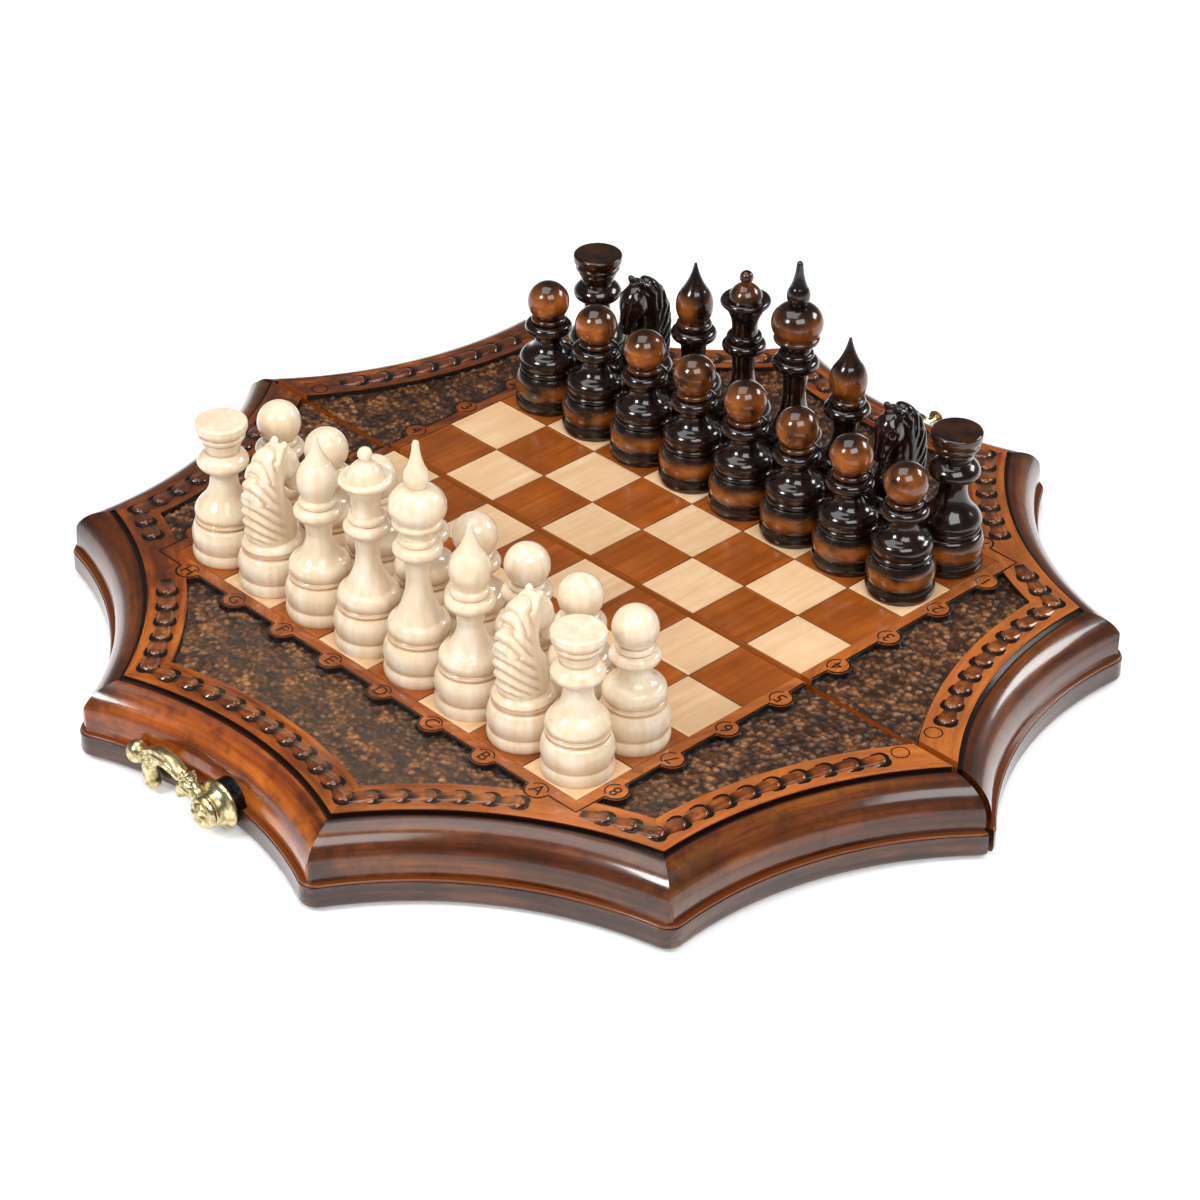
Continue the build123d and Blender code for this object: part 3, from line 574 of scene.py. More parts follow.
def braid_places():
    """Where each leaf of the near half starts, as a point and the way that it runs."""
    arc_r = SIDE_CENTRE - BRAID_MID
    corner = SIDE_CENTRE * math.cos(SECTOR / 2) - math.sqrt(
        arc_r**2 - (SIDE_CENTRE * math.sin(SECTOR / 2)) ** 2
    )
    half_sweep = math.asin(corner * math.sin(SECTOR / 2) / arc_r)
    count = round(2 * half_sweep * arc_r / LEAF_PITCH)
    places = []
    for side in range(-5, 0):
        centre_angle = (side + 0.5) * SECTOR
        centre = Vector((math.cos(centre_angle), math.sin(centre_angle))) * SIDE_CENTRE
        for step in range(count):
            swing = half_sweep * (2 * (step + 0.1) / count - 1)
            inward = centre_angle + math.pi - swing
            start = centre + Vector((math.cos(inward), math.sin(inward))) * arc_r
            heading = inward - math.pi / 2
            run = Vector((math.cos(heading), math.sin(heading)))
            middle = start + run * (LEAF_PITCH / 2)
            if start.y > -13 or middle.y > -13 or (start + run * LEAF_PITCH).y > -11:
                continue
            if border_gap(middle.x, middle.y) < 4.4:
                continue
            places.append((start, heading))
    return places


def linked(name, data):
    """A new object with this mesh, in the scene."""
    made = bpy.data.objects.new(name, data)
    bpy.context.scene.collection.objects.link(made)
    return made


def braid():
    """All leaves of the near half as one carved piece."""
    template = leaf()
    joined = bmesh.new()
    joined.verts.layers.float.new("scorch_and_shade")
    for start, heading in braid_places():
        single = template.data.copy()
        single.transform(Matrix.Scale(MM, 4))
        place = Matrix.Translation((start.x * MM, start.y * MM, (TOP + 0.01) * MM))
        single.transform(place @ Matrix.Rotation(heading, 4, "Z"))
        joined.from_mesh(single)
        bpy.data.meshes.remove(single)
    data = bpy.data.meshes.new("near_laurel")
    joined.to_mesh(data)
    joined.free()
    bpy.data.objects.remove(template)
    return smoothed(linked("near_laurel", data))


carved_leaf, tree = new_material("carved_scorched_shaded_beech")
point, side, out, height, share = side_coordinates(tree)
colour, growth = wood_grain(tree, point, (0.09, 1.0, 1.0), "#5C2A0E", "#984C18", "#B46824", 3.4)
scorch_and_shade = add_node(tree, "ShaderNodeAttribute", attribute_name="scorch_and_shade").outputs["Fac"]
colour = stained(tree, colour, product(tree, patches(tree, point, 5.0, 0.36, 0.60), 0.75), "#3A1A0C")
across = parted(tree, plain_coordinates(tree)[0])["X"]
# Painted sheen and shade: the leaves are painted darker and greyer towards the left end.
colour = stained(tree, colour, ranged(tree, across, *SHEEN_SHADE_SIDE, 0.6, 0.0), "#4A281C")
colour = stained(tree, colour, scorch_and_shade, "#0E0603")
lacquered(tree, colour, growth, 0.30, 1.0, 0.10, 0.10)
on_both_halves(braid(), "laurel", carved_leaf)


# Burned lines: a hot point drew the outline of the lobed border, a half ring in each lobe and a
# circle at each end of the laurel. They are thin and almost black.
LINE_RISE = 0.06
LINE_INSET = 0.45
LOBE_RING = 3.7
END_RING = (164.6, -8.6, 3.2)


def ribbon(shape, points, width, closed=False):
    """A flat line of the given width through points on the top of the box."""
    count = len(points)
    rows = []
    for index, point_ in enumerate(points):
        before = points[index - 1] if index or closed else point_
        after = points[(index + 1) % count] if index + 1 < count or closed else point_
        run = (Vector(after) - Vector(before)).normalized()
        across = Vector((-run.y, run.x)) * (width / 2)
        row = []
        for edge in (Vector(point_) + across, Vector(point_) - across):
            row.append(shape.verts.new((edge.x * MM, edge.y * MM, (TOP + LINE_RISE) * MM)))
        rows.append(row)
    spans = count if closed else count - 1
    for index in range(spans):
        a, b = rows[index], rows[(index + 1) % count]
        shape.faces.new((a[0], a[1], b[1], b[0]))


def arc_points(x, y, radius, first, last, steps):
    sweep = (last - first) / steps
    return [
        (x + radius * math.cos(first + sweep * step), y + radius * math.sin(first + sweep * step))
        for step in range(steps + 1)
    ]


def border_points():
    """The near half's border outline, set in a little, with its lobes."""
    points = []
    radius = LOBE_R - LINE_INSET
    edge_x, edge_y = BORDER_X - LINE_INSET, BORDER_Y - LINE_INSET
    for row in range(4):
        points += arc_points(-BORDER_X, row_y(row), radius, math.radians(88), math.radians(272), 16)
    points.append((-edge_x, -edge_y))
    for column in range(8):
        points += arc_points(column_x(column), -BORDER_Y, radius, math.radians(178), math.radians(362), 16)
    points.append((edge_x, -edge_y))
    for row in reversed(range(4)):
        points += arc_points(BORDER_X, row_y(row), radius, math.radians(-92), math.radians(92), 16)
    return [(-edge_x, -GAP - 0.5)] + points + [(edge_x, -GAP - 0.5)]


def burned_lines():
    shape = bmesh.new()
    ribbon(shape, border_points(), 0.85)
    for x, y, way_x, way_y in lobes():
        facing = math.atan2(way_y, way_x)
        ribbon(shape, arc_points(x, y, LOBE_RING, facing + 1.9, facing + 4.4, 14), 0.55)
    ring_x, ring_y, ring_r = END_RING
    for sign in (-1, 1):
        ribbon(shape, arc_points(sign * ring_x, ring_y, ring_r, 0, 2 * math.pi, 24)[:-1], 0.5, True)
    data = bpy.data.meshes.new("near_burned_lines")
    bmesh.ops.recalc_face_normals(shape, faces=shape.faces)
    for face in shape.faces:
        if face.normal.z < 0:
            face.normal_flip()
    shape.to_mesh(data)
    shape.free()
    return linked("near_burned_lines", data)


burn, tree = new_material("burned_line")
point, height = plain_coordinates(tree)
colour, growth = wood_grain(tree, point, (1.0, 1.0, 1.0), "#0A0503", "#1C0D06", "#3A1C0C", 1.6)
lacquered(tree, colour, growth, 0.5, 0.6, 0.2, 0.05)
on_both_halves(burned_lines(), "burned_lines", burn)


# Board letters and numbers: burned into the lobes, one beside each file and rank.
# Letters run along both players' edges, from A at the near corner, and numbers along the other two.
LETTER_HIGH = 5.4
FONT_SHARE = 1.35
SIGN_RISE = 0.07
SIGN_OUT = 0.3


def board_sign(text, x, y, turn):
    """One burned letter or number on a lobe, as a thin raised outline."""
    bpy.ops.object.select_all(action="DESELECT")
    bpy.ops.object.text_add(location=(0, 0, 0))
    sign = bpy.context.object
    sign.data.body = text
    sign.data.size = LETTER_HIGH * FONT_SHARE * MM
    sign.data.align_x = "CENTER"
    sign.data.align_y = "CENTER"
    sign.data.extrude = 0.04 * MM
    sign.data.resolution_u = 4
    bpy.ops.object.convert(target="MESH")
    sign = bpy.context.object
    place = Matrix.Translation((x * MM, y * MM, (TOP + SIGN_RISE) * MM))
    sign.data.transform(place @ Matrix.Rotation(turn, 4, "Z"))
    sign.matrix_world = Matrix.Identity(4)
    return sign


def label_half(half, sign_y):
    signs = []
    for column in range(8):
        turn = 0.0 if half == "near" else math.pi
        signs.append(board_sign("HGFEDCBA"[column], column_x(column), sign_y * (BORDER_Y + SIGN_OUT), turn))
    for row in range(4):
        y = -sign_y * row_y(row)
        number = str(5 + row) if half == "near" else str(4 - row)
        signs.append(board_sign(number, BORDER_X + SIGN_OUT, y, math.pi))
        signs.append(board_sign(number, -BORDER_X - SIGN_OUT, y, 0.0))
    bpy.ops.object.select_all(action="DESELECT")
    for sign in signs:
        sign.select_set(True)
    bpy.context.view_layer.objects.active = signs[0]
    bpy.ops.object.join()
    made = bpy.context.object
    made.name = f"{half}_board_signs"
    made.data.materials.clear()
    made.data.materials.append(burn)
    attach(made, f"{half}_half")


label_half("near", -1)
label_half("far", 1)


# Playing squares: maple and walnut tiles laid in the panel, their edges chamfered to a dark V line.
# Each tile is cut from its own board, so tone and grain change from one to the next.
BOARD_JUMP = 400.0


def tile_material(name, dark, middle, pale, stain_and_shade, smoke_amount):
    material, tree = new_material(name)
    point, height = plain_coordinates(tree)
    cell = vector(tree, "MULTIPLY", point, (1 / SQUARE, 1 / SQUARE, 0))
    corner = add_node(tree, "ShaderNodeVectorMath", {0: cell}, operation="FLOOR").outputs[0]
    chance = add_node(tree, "ShaderNodeTexWhiteNoise", {"Vector": corner}, noise_dimensions="3D").outputs
    jump = {0: chance["Color"], "Scale": BOARD_JUMP}
    jumped = add_node(tree, "ShaderNodeVectorMath", jump, operation="SCALE").outputs[0]
    own = vector(tree, "ADD", point, jumped)
    colour, growth = wood_grain(tree, own, (1.0, 0.07, 1.0), dark, middle, pale, 3.0, 0.7)
    # Cloudy stain, different in each tile.
    cloud = noisy(tree, own, 16.0, 2.0, 0.5)
    colour = stained(tree, colour, ranged(tree, cloud, 0.40, 0.72, 0.0, smoke_amount), stain_and_shade)
    tone = ranged(tree, chance["Value"], 0.0, 1.0, 0.86, 1.10)
    toned = add_node(tree, "ShaderNodeHueSaturation", {"Value": tone, "Color": colour}).outputs[0]
    lined = stained(tree, toned, ranged(tree, height, TOP - 0.34, TOP - 0.03, 0.95, 0.0), "#1E0D06")
    fold_side = reckon(tree, "COMPARE", parted(tree, point)["Y"], 0.0, GAP + 0.05)
    lacquered(tree, stained(tree, lined, fold_side, "#B4642A"), growth, 0.33, 0.8, 0.14, 0.03)
    return material


maple = tile_material("lacquered_maple", "#DBAE80", "#E6C096", "#EFCFAC", "#D8A878", 0.35)
board_walnut = tile_material("lacquered_walnut_tiles", "#84400F", "#A05117", "#B26425", "#7C4019", 0.6)
for half in ("near", "far"):
    dress(f"{half}_light_squares", maple)
    dress(f"{half}_dark_squares", board_walnut)


# Hinges: two small pressed brass butt hinges under the fold with brass pins and slotted screws.
# They are brushed brass, a little tarnished, and lie flush in the rails.
def metal(name, bright, dull, roughness, scale_mm):
    material, tree = new_material(name)
    tarnish = noisy(tree, plain_coordinates(tree)[0], scale_mm, 4.0, 0.6)
    dents = add_node(tree, "ShaderNodeBump", {"Height": tarnish, "Strength": 0.35, "Distance": 0.12 * MM})
    links = {
        "Base Color": coloured(tree, tarnish, [(0.38, shade(dull)), (0.60, shade(bright))]),
        "Metallic": 1.0,
        "Roughness": ranged(tree, tarnish, 0.35, 0.65, roughness + 0.14, roughness),
        "Normal": dents.outputs[0],
    }
    shader = add_node(tree, "ShaderNodeBsdfPrincipled", links)
    add_node(tree, "ShaderNodeOutputMaterial", {"Surface": shader.outputs[0]})
    return material


hinge_brass = metal("pressed_hinge_brass", "#C9A962", "#8E7440", 0.28, 3.0)
hook_brass = metal("cast_antique_brass", "#E0D4AA", "#A08E5C", 0.22, 2.4)
black_iron = metal("blackened_washer", "#3A3A3C", "#161618", 0.30, 1.6)
for name in ("near_hinge_leaves", "far_hinge_leaves", "near_hinge_screws", "far_hinge_screws", "hinge_pins"):
    dress(name, hinge_brass)
for name in ("latch_pivot_screw", "latch_hook", "catch_plate", "catch_stud"):
    dress(name, hook_brass)
dress("latch_backplate", black_iron)


# Chess pieces: turned in boxwood for the light side and in stained beech for the dark side.
# Both are lacquered. Grooves carry stain and painted shade, and the dark pieces show amber on their bulges,
# partly where sanded thin and partly as a painted glow.
FOOT_LINES = (5.4, 15.4, 17.4)
ROOK_LINES = (44.8, 49.4, 52.4)
LINE_HALF = 0.42
BOXWOOD = ("#E0C5A0", "#EAD7BC", "#F1E4D2", "#BE8854", 0.34)
STAINED_BEECH = ("#0C0503", "#190B06", "#2E150A", "#060202", 0.24)
AMBER = "#A25A20"
AMBER_FROM = TOP - 5
AMBER_SPAN = 110.0


def amber_amount(tree, point, height, bands):
    """How much amber shows, in bands given as start and end height above the board and strength."""
    patch = ranged(tree, noisy(tree, point, 9.0, 2.0, 0.5), 0.30, 0.66, 0.0, 1.0)
    zone = ranged(tree, height, AMBER_FROM, AMBER_FROM + AMBER_SPAN, 0.0, 1.0)
    stops = []
    for start, end, strength in bands:
        a = (TOP + start - AMBER_FROM) / AMBER_SPAN
        b = (TOP + end - AMBER_FROM) / AMBER_SPAN
        edge = (b - a) * 0.36
        stops += [(a, grey(0)), (a + edge, grey(strength)), (b - edge, grey(strength)), (b, grey(0))]
    return product(tree, patch, coloured(tree, zone, stops))


def turned_material(name, wood, bands=(), lines=FOOT_LINES):
    dark, middle, pale, groove_stain_and_shade, roughness = wood
    material, tree = new_material(name)
    point, height = plain_coordinates(tree)
    colour, growth = wood_grain(tree, point, (1.0, 1.0, 0.10), dark, middle, pale, 4.0, 0.8)
    # Amber on the dark pieces' bulges: partly wood sanded thin, partly a painted glow of light.
    if bands:
        colour = stained(tree, colour, amber_amount(tree, point, height, bands), AMBER)
    cut = add_node(tree, "ShaderNodeAttribute", attribute_name="flute").outputs["Fac"]
    # Stain and painted shade: the turned grooves and the knight's flutes are darkened.
    for z in lines:
        cut = reckon(tree, "MAXIMUM", cut, reckon(tree, "COMPARE", height, TOP + z, LINE_HALF))
    colour = stained(tree, colour, product(tree, cut, 0.55), groove_stain_and_shade)
    lacquered(tree, colour, growth, roughness, 1.0, 0.05, 0.015)
    return material


boxwood = turned_material("lacquered_boxwood", BOXWOOD)
boxwood_rook = turned_material("lacquered_boxwood_rook", BOXWOOD, lines=FOOT_LINES + ROOK_LINES)
AMBER_BANDS = {
    "pawn": [(5.5, 13.5, 0.8), (37, 54, 0.95)],
    "rook": [(5.5, 13.5, 0.85), (46, 60, 0.15)],
    "knight": [(5.5, 13, 0.55)],
    "bishop": [(5.5, 13, 0.5), (47, 62, 0.75)],
    "queen": [(5.5, 13, 0.5), (69, 81, 0.4)],
    "king": [(5.5, 13, 0.5), (62, 76, 0.55)],
}
ebony = {
    kind: turned_material(
        f"stained_beech_{kind}", STAINED_BEECH, bands, FOOT_LINES + (ROOK_LINES if kind == "rook" else ())
    )
    for kind, bands in AMBER_BANDS.items()
}
for name in nodes:
    if name.startswith("light_"):
        dress(name, boxwood)
    elif name.startswith("dark_"):
        dress(name, ebony[name.split("_")[1]])


# Knights: horses carved from one block, with an arched neck, roped mane, hollow cheeks and small ears.
# The carving is softened by sanding; the turned foot below is the same as on the other pieces.
HORSE_NECK = [
    (0.0, 19.7, 0, 9.4, 7.9),
    (-0.5, 25.0, -3, 9.8, 7.8),
    (-1.7, 31.5, -2, 9.2, 7.6),
    (-2.9, 38.0, 6, 7.9, 7.1),
    (-2.0, 45.0, 26, 7.3, 6.4),
    (1.2, 50.6, 50, 6.4, 5.4),
    (5.2, 53.2, 80, 4.0, 4.4),
]
HORSE_HEAD = [
    (3.2, 52.6, 112, 3.6, 3.9),
    (5.6, 50.2, 132, 5.3, 4.9),
    (7.2, 46.8, 146, 5.7, 5.0),
    (8.8, 42.8, 157, 4.2, 3.7),
    (9.9, 39.6, 163, 3.1, 3.0),
    (10.5, 37.2, 168, 2.6, 2.9),
    (10.8, 35.7, 170, 1.4, 1.9),
]
MANE_PITCH = 4.4
MANE_SLOPE = 1.05
MANE_DEPTH = 1.45
# Swellings and hollows of the head: height, middle and radius, in mm.
HORSE_CUTS = {
    "jaw": (0.55, (4.4, 6.4, 45.4), 3.2),
    "brow": (0.55, (4.2, 8.6, 50.8), 1.3),
    "eye socket": (-0.75, (4.4, 9.5, 48.6), 0.9),
    "eyeball": (0.40, (4.6, 9.0, 49.2), 0.55),
    "nostril": (-0.7, (2.4, 12.2, 38.2), 0.75),
    "nostril wing": (0.45, (2.0, 12.6, 39.3), 1.1),
    "cheek hollow": (-0.5, (3.6, 10.6, 44.4), 1.6),
}


def between(rows, share):
    """A smooth row of numbers between the given rows, share running from 0 to their last index."""
    first = min(int(share), len(rows) - 2)
    t = share - first
    four = [rows[max(0, min(len(rows) - 1, first + step))] for step in (-1, 0, 1, 2)]
    return [
        0.5 * (2 * b + (c - a) * t + (2 * a - 5 * b + 4 * c - d) * t**2 + (3 * b - a - 3 * c + d) * t**3)
        for a, b, c, d in zip(*four)
    ]


def skinned(shape, rings):
    """Faces between neighbouring rings of points."""
    for low, high in zip(rings, rings[1:]):
        for step in range(len(low)):
            after = (step + 1) % len(low)
            shape.faces.new((low[step], low[after], high[after], high[step]))


def carved_limb(shape, rows, rounds=28, steps=5):
    """A closed limb through oval sections given as (y, z, lean, half depth, half width)."""
    rings = []
    for step in range((len(rows) - 1) * steps + 1):
        y, z, lean, depth, wide = between(rows, step / steps)
        tilt = math.radians(lean)
        ring = []
        for turn in range(rounds):
            angle = 2 * math.pi * turn / rounds
            across = math.copysign(abs(math.sin(angle)) ** 0.86, math.sin(angle)) * wide
            deep = math.copysign(abs(math.cos(angle)) ** 0.86, math.cos(angle)) * depth
            ring.append(shape.verts.new((across, y + deep * math.cos(tilt), z - deep * math.sin(tilt))))
        rings.append(ring)
    skinned(shape, rings)
    shape.faces.new(rings[0])
    shape.faces.new(reversed(rings[-1]))


def neck_place(y, z):
    """Along the neck's middle line and across it, both in mm, with the half depth there."""
    best = None
    run = 0.0
    for low, high in zip(HORSE_NECK, HORSE_NECK[1:]):
        step = Vector((high[0] - low[0], high[1] - low[1]))
        long = step.length
        away = Vector((y - low[0], z - low[1]))
        share = max(0.0, min(1.0, away.dot(step) / long**2))
        gap = (away - share * step).length
        if best is None or gap < best[0]:
            across = (away.x * step.y - away.y * step.x) / long
            best = (gap, run + share * long, across, low[3] + share * (high[3] - low[3]))
        run += long
    return best[1:]


def swell(point, centre, radius):
    """How near a point is to a centre, mirrored across the horse's middle: 1 there, 0 far off."""
    away = Vector((abs(point.x), point.y, point.z)) - Vector(centre)
    return math.exp(-(away.length / radius) ** 2)


def ramp(value, low, high):
    t = max(0.0, min(1.0, (value - low) / (high - low)))
    return t * t * (3 - 2 * t)


def carve(point):
    """How far the surface is moved out at a point of the horse, and how much stain and painted shade its
    flutes get.
    """
    along, across, depth = neck_place(point.y, point.z)
    edge = 0.12 * depth - 0.04 * max(0.0, along - 22) * depth / 3
    mane = (1 - ramp(across, edge - 2.2, edge + 1.0)) * ramp(point.z, 20.4, 23.0)
    front = 1 - ramp(point.y, 5.2, 7.0) * ramp(point.z, 40.0, 42.0)
    mane *= front
    rope = abs(math.sin(math.pi * (along + MANE_SLOPE * (across + depth)) / MANE_PITCH)) ** 0.75
    height = mane * (0.55 - MANE_DEPTH * (1 - rope))
    height += sum(depth_ * swell(point, centre, radius) for depth_, centre, radius in HORSE_CUTS.values())
    mouth_z = 36.9 + 0.28 * (12.5 - point.y)
    height -= 0.65 * math.exp(-(((point.z - mouth_z) / 0.4) ** 2)) * ramp(point.y, 8.6, 9.6)
    return height, mane * max(0.0, 1 - 1.6 * rope)


def fused(shape, name, voxel):
    """A new piece from a rough shape, its parts fused into one skin."""
    data = bpy.data.meshes.new(name)
    shape.to_mesh(data)
    shape.free()
    made = linked(name, data)
    bpy.ops.object.select_all(action="DESELECT")
    bpy.context.view_layer.objects.active = made
    made.select_set(True)
    data.remesh_voxel_size = voxel
    bpy.ops.object.voxel_remesh()
    return made


def sanded(shape, factor):
    """Move each point of a shape towards its neighbours."""
    bmesh.ops.smooth_vert(
        shape, verts=shape.verts, factor=factor, use_axis_x=True, use_axis_y=True, use_axis_z=True
    )


def horse():
    """The carved horse in mm, standing on z = 20, its face towards +Y."""
    shape = bmesh.new()
    carved_limb(shape, HORSE_NECK)
    carved_limb(shape, HORSE_HEAD)
    for side in (-1, 1):
        turn = Matrix.Rotation(math.radians(-14), 4, "X") @ Matrix.Rotation(math.radians(side * 10), 4, "Y")
        place = Matrix.Translation((side * 2.4, 5.0, 55.4)) @ turn @ Matrix.Diagonal((1.5, 1.3, 3.0, 1))
        bmesh.ops.create_icosphere(shape, subdivisions=3, radius=1, matrix=place)
    made = fused(shape, "horse", 0.42)
    shape = bmesh.new()
    shape.from_mesh(made.data)
    for _ in range(4):
        sanded(shape, 0.5)
    shape.normal_update()
    layer = shape.verts.layers.float.new("flute")
    moves = [(vertex, vertex.normal.copy(), *carve(vertex.co)) for vertex in shape.verts]
    for vertex, way, height, flute in moves:
        vertex.co += way * height
        vertex[layer] = flute
    sanded(shape, 0.35)
    shape.to_mesh(made.data)
    shape.free()
    return smoothed(made)


FOOT_RADIUS = 13.1128
BOW_STEPS = 8
FOOT_BOWS = [
    ((12.5, 0.0), (13.1, 2.7), (12.2, 5.4)),
    ((12.2, 5.4), (13.1, 10.0), (11.4, 15.0)),
    ((11.4, 15.0), (10.8, 15.1), (10.7, 15.4)),
]
KNIGHT_BOWS = FOOT_BOWS + [((10.7, 15.4), (11.4, 17.7), (9.8, 20.0))]


def circle(radius, around):
    """Points round a circle."""
    turns = [2 * math.pi * step / around for step in range(around)]
    return [(radius * math.cos(turn), radius * math.sin(turn)) for turn in turns]


def spun(shape, rings):
    """A closed turned solid through its rings."""
    skinned(shape, rings)
    shape.faces.new(reversed(rings[0]))
    shape.faces.new(rings[-1])


def turned(shape, bows):
    """A turned solid from bows given as start, middle and end in (radius, height) mm."""
    spots = [bows[0][0]]
    for start, via, end in bows:
        pull = [2 * v - (a + b) / 2 for a, v, b in zip(start, via, end)]
        for step in range(1, BOW_STEPS + 1):
            t = step / BOW_STEPS
            first, middle, last = (1 - t) ** 2, 2 * t * (1 - t), t * t
            spots.append([first * a + middle * c + last * b for a, c, b in zip(start, pull, end)])
    spun(shape, [[shape.verts.new((x, y, z)) for x, y in circle(radius, 72)] for radius, z in spots])


def extent(name):
    """A node's lowest and highest corner, in metres."""
    return [Vector(nodes[name].bound_box[corner]) for corner in (0, 6)]


def stand(name, kind, shape, seat_y, material):
    """A chess piece shaped here in mm, set on its square in place of the CAD's piece."""
    low, high = extent(name)
    light = name.startswith("light")
    data = bpy.data.meshes.new(f"{name}_{kind}")
    shape.to_mesh(data)
    shape.free()
    data.transform(Matrix.Scale(MM, 4))
    if not light:
        data.transform(Matrix.Rotation(math.pi, 4, "Z"))
    data.transform(Matrix.Translation(((low.x + high.x) / 2, seat_y, TOP * MM)))
    data.materials.append(material)
    piece = linked(f"{name}_{kind}", data)
    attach(piece, name)
    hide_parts(name)
    return smoothed(piece)


carved_horse = horse()
for name in [node for node in nodes if "_knight_" in node]:
    low, high = extent(name)
    shape = bmesh.new()
    shape.verts.layers.float.new("flute")
    turned(shape, KNIGHT_BOWS)
    shape.from_mesh(carved_horse.data)
    if name.startswith("light"):
        stand(name, "carved", shape, low.y + FOOT_RADIUS * MM, boxwood)
    else:
        stand(name, "carved", shape, high.y - FOOT_RADIUS * MM, ebony["knight"])
bpy.data.objects.remove(carved_horse)


# Rooks: plain castles turned in one piece, the cup flaring from the collar to a flat top.
# Two fine grooves run round the cup; the foot and the bell are those of the other pieces.
ROOK_BOWS = FOOT_BOWS + [
    ((10.7, 15.4), (11.4, 16.5), (10.7, 17.6)),
    ((10.7, 17.6), (11.5, 20.2), (9.2, 24.0)),
    ((9.2, 24.0), (6.6, 27.4), (5.4, 31.6)),
    ((5.4, 31.6), (5.3, 34.2), (5.7, 36.4)),
    ((5.7, 36.4), (9.7, 40.0), (6.6, 44.4)),
    ((6.6, 44.4), (6.1, 44.7), (6.3, 45.1)),
    ((6.3, 45.1), (6.9, 46.9), (7.6, 49.0)),
    ((7.6, 49.0), (7.3, 49.4), (7.9, 49.7)),
    ((7.9, 49.7), (8.7, 50.7), (8.8, 52.0)),
    ((8.8, 52.0), (8.5, 52.4), (9.0, 52.7)),
    ((9.0, 52.7), (9.7, 54.2), (9.7, 55.6)),
    ((9.7, 55.6), (9.4, 56.9), (7.6, 57.2)),
]

for name in [node for node in nodes if "_rook_" in node]:
    low, high = extent(name)
    shape = bmesh.new()
    turned(shape, ROOK_BOWS)
    material = boxwood_rook if name.startswith("light") else ebony["rook"]
    rook = stand(name, "turned", shape, (low.y + high.y) / 2, material)
    for polygon in rook.data.polygons:
        polygon.use_smooth = len(polygon.vertices) == 4


# Latch: cast brass hook with a flared collar, a ridged leaf arm, a ball end, a tongue and a thumb tab.
# The castings are tarnished in patches; a domed screw with a rosette on it holds the hook.
PIVOT = Vector((6.0, -181.95, 11.0))
HOOK_ARM = [
    (2.0, 0.4, 84, 4.0, 2.5),
    (8.0, 1.4, 70, 3.4, 2.7),
    (13.4, 4.0, 62, 4.5, 3.2),
    (15.6, 5.2, 68, 3.2, 2.4),
    (22.0, 7.2, 80, 3.1, 2.6),
    (28.0, 7.6, 100, 3.4, 2.8),
    (34.0, 5.6, 112, 2.8, 2.5),
    (37.6, 3.6, 110, 2.3, 2.2),
    (41.0, 2.4, 98, 2.0, 2.0),
]
HOOK_TONGUE = [
    (32.6, 5.4, 166, 3.4, 2.7),
    (34.4, 1.4, 174, 3.5, 2.7),
    (34.8, -3.2, 184, 3.4, 2.6),
    (33.4, -6.6, 204, 3.0, 2.5),
    (31.8, -8.2, 220, 1.6, 1.8),
]
HOOK_TAB = [
    (15.6, 2.0, 176, 2.9, 2.1),
    (17.2, -1.6, 188, 2.9, 2.1),
    (17.0, -3.8, 204, 2.0, 1.6),
]


HOOK_COLLAR = [
    (2.6, 0.0),
    (9.2, 0.0),
    (9.5, 0.5),
    (9.2, 1.4),
    (7.8, 2.4),
    (6.7, 3.6),
    (6.1, 5.0),
    (6.0, 6.5),
    (2.6, 6.5),
]
SCREW_DOME = [
    (2.2, -0.25),
    (2.2, 6.8),
    (6.2, 6.8),
    (6.3, 7.4),
    (5.9, 8.6),
    (4.7, 9.7),
    (2.8, 10.4),
    (0.6, 10.6),
]
DOME_FROM = 7.5
ARM_OUT = 3.65
SIDE_TURN = Matrix(((0, -1, 0, 0), (1, 0, 0, 0), (0, 0, 1, 0), (0, 0, 0, 1)))


def lathed(shape, profile):
    """A turned ring or dome about the hook's screw, profile in (radius, out) mm, along -X here."""
    spun(shape, [[shape.verts.new((-out_, y, z)) for y, z in circle(radius, 64)] for radius, out_ in profile])


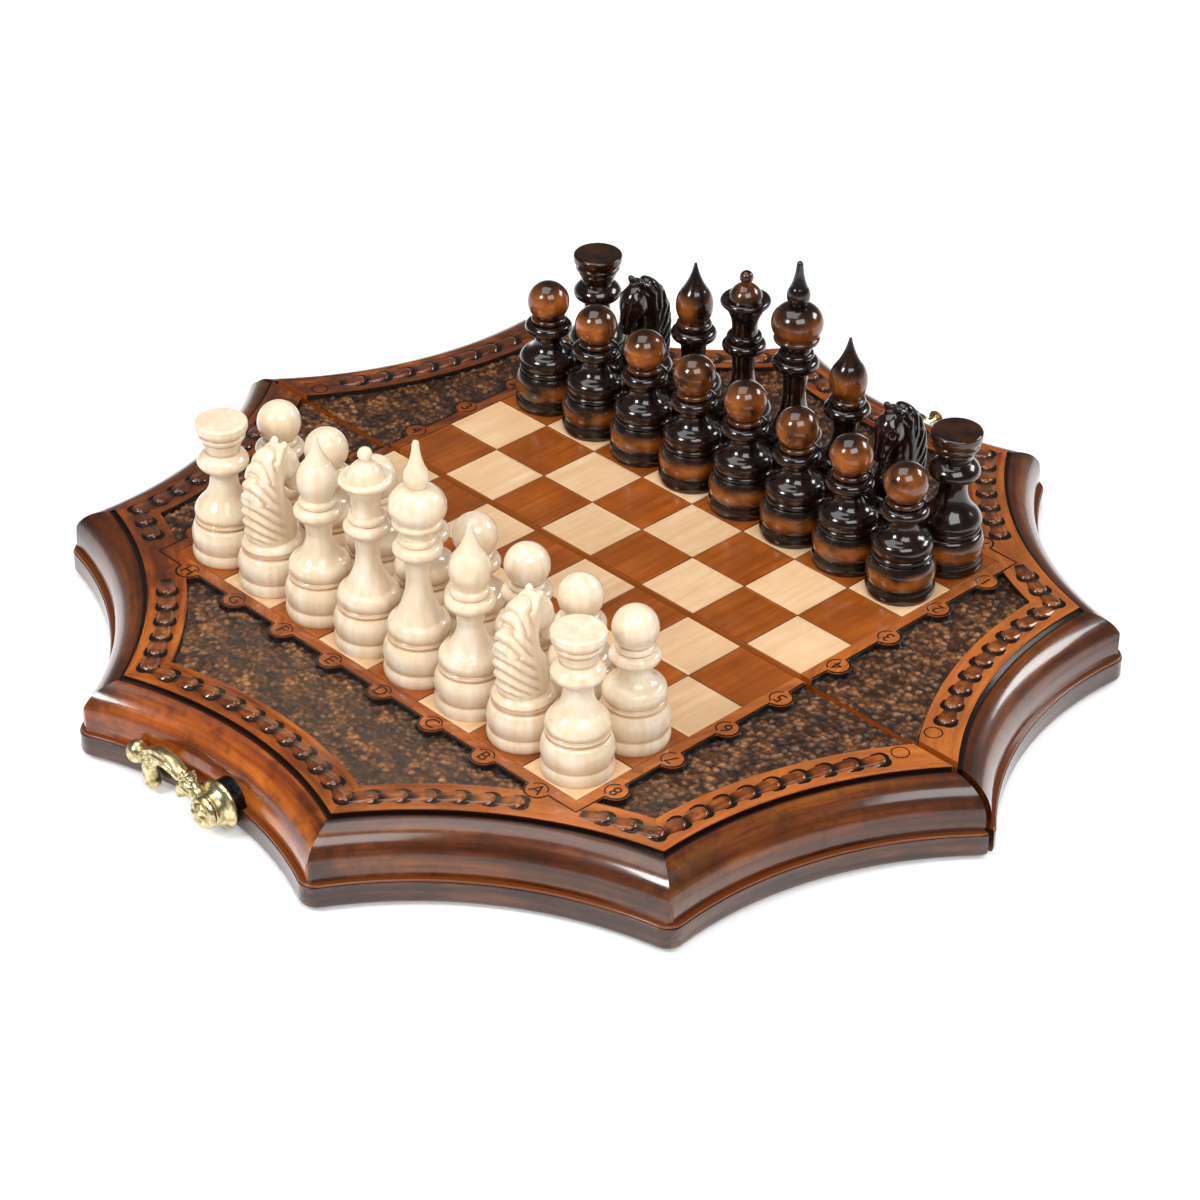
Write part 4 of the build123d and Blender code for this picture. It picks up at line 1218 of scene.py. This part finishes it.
def hook_ridges(point):
    """Lengthwise ridges on the arm and tongue and the raised lip of the leaf."""
    if point.y < 8.5:
        return 0.0
    middle = 1.6 + 6.2 * ramp(point.y, 8, 24) - 4.4 * ramp(point.y, 28, 39)
    along = ramp(point.y, 8.5, 10.5) * (1 - ramp(point.y, 36, 38.5)) * ramp(point.z, -0.5, 1.5)
    ridge = 0.30 * math.cos((point.z - middle) * 2.6) * along
    lip = 0.85 * math.exp(-(((point.y - 14.2 + 0.5 * (point.z - 4)) / 0.7) ** 2))
    cut = 0.75 * math.exp(-(((point.y - 16.2 + 0.5 * (point.z - 4)) / 0.8) ** 2))
    return ridge + (lip - cut) * ramp(point.z, 0.5, 2.5)


def rosette(point):
    """Petals pressed into the screw's dome."""
    if point.x >= -DOME_FROM:
        return 0.0
    radius = math.hypot(point.y, point.z)
    turn = math.atan2(point.z, point.y)
    petals = 0.34 * math.cos(6 * turn) * ramp(radius, 0.8, 2.2) * (1 - ramp(radius, 3.6, 4.4))
    ring = -0.5 * math.exp(-(((radius - 4.7) / 0.35) ** 2))
    heart = 0.4 * math.exp(-((radius / 1.0) ** 2))
    return petals + ring + heart


def cast_piece(shape, name, voxel, relief):
    """A casting: its rough shape in mm fused, smoothed and given its relief, then set on the side."""
    made = fused(shape, name, voxel)
    shape = bmesh.new()
    shape.from_mesh(made.data)
    for _ in range(2):
        sanded(shape, 0.5)
    shape.normal_update()
    moves = [(vertex, vertex.normal * relief(vertex.co)) for vertex in shape.verts]
    for vertex, move in moves:
        vertex.co += move
    shape.to_mesh(made.data)
    shape.free()
    made.data.transform(Matrix.Diagonal((MM, MM, MM, 1)))
    made.data.transform(Matrix.Translation(PIVOT * MM) @ SIDE_TURN)
    made.data.materials.append(hook_brass)
    return smoothed(made)


shape = bmesh.new()
for rows in (HOOK_ARM, HOOK_TONGUE, HOOK_TAB):
    carved_limb(shape, rows, 22)
bmesh.ops.create_icosphere(shape, subdivisions=3, radius=4.4, matrix=Matrix.Translation((0, 41.6, 2.6)))
bmesh.ops.transform(shape, matrix=Matrix.Translation((-ARM_OUT, 0, 0)), verts=shape.verts)
lathed(shape, HOOK_COLLAR)
hook = cast_piece(shape, "cast_hook", 0.30, hook_ridges)
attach(hook, "latch_hook")
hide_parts("latch_hook")

shape = bmesh.new()
lathed(shape, SCREW_DOME)
screw = cast_piece(shape, "rosette_screw", 0.24, rosette)
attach(screw, "near_half")
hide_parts("latch_pivot_screw")
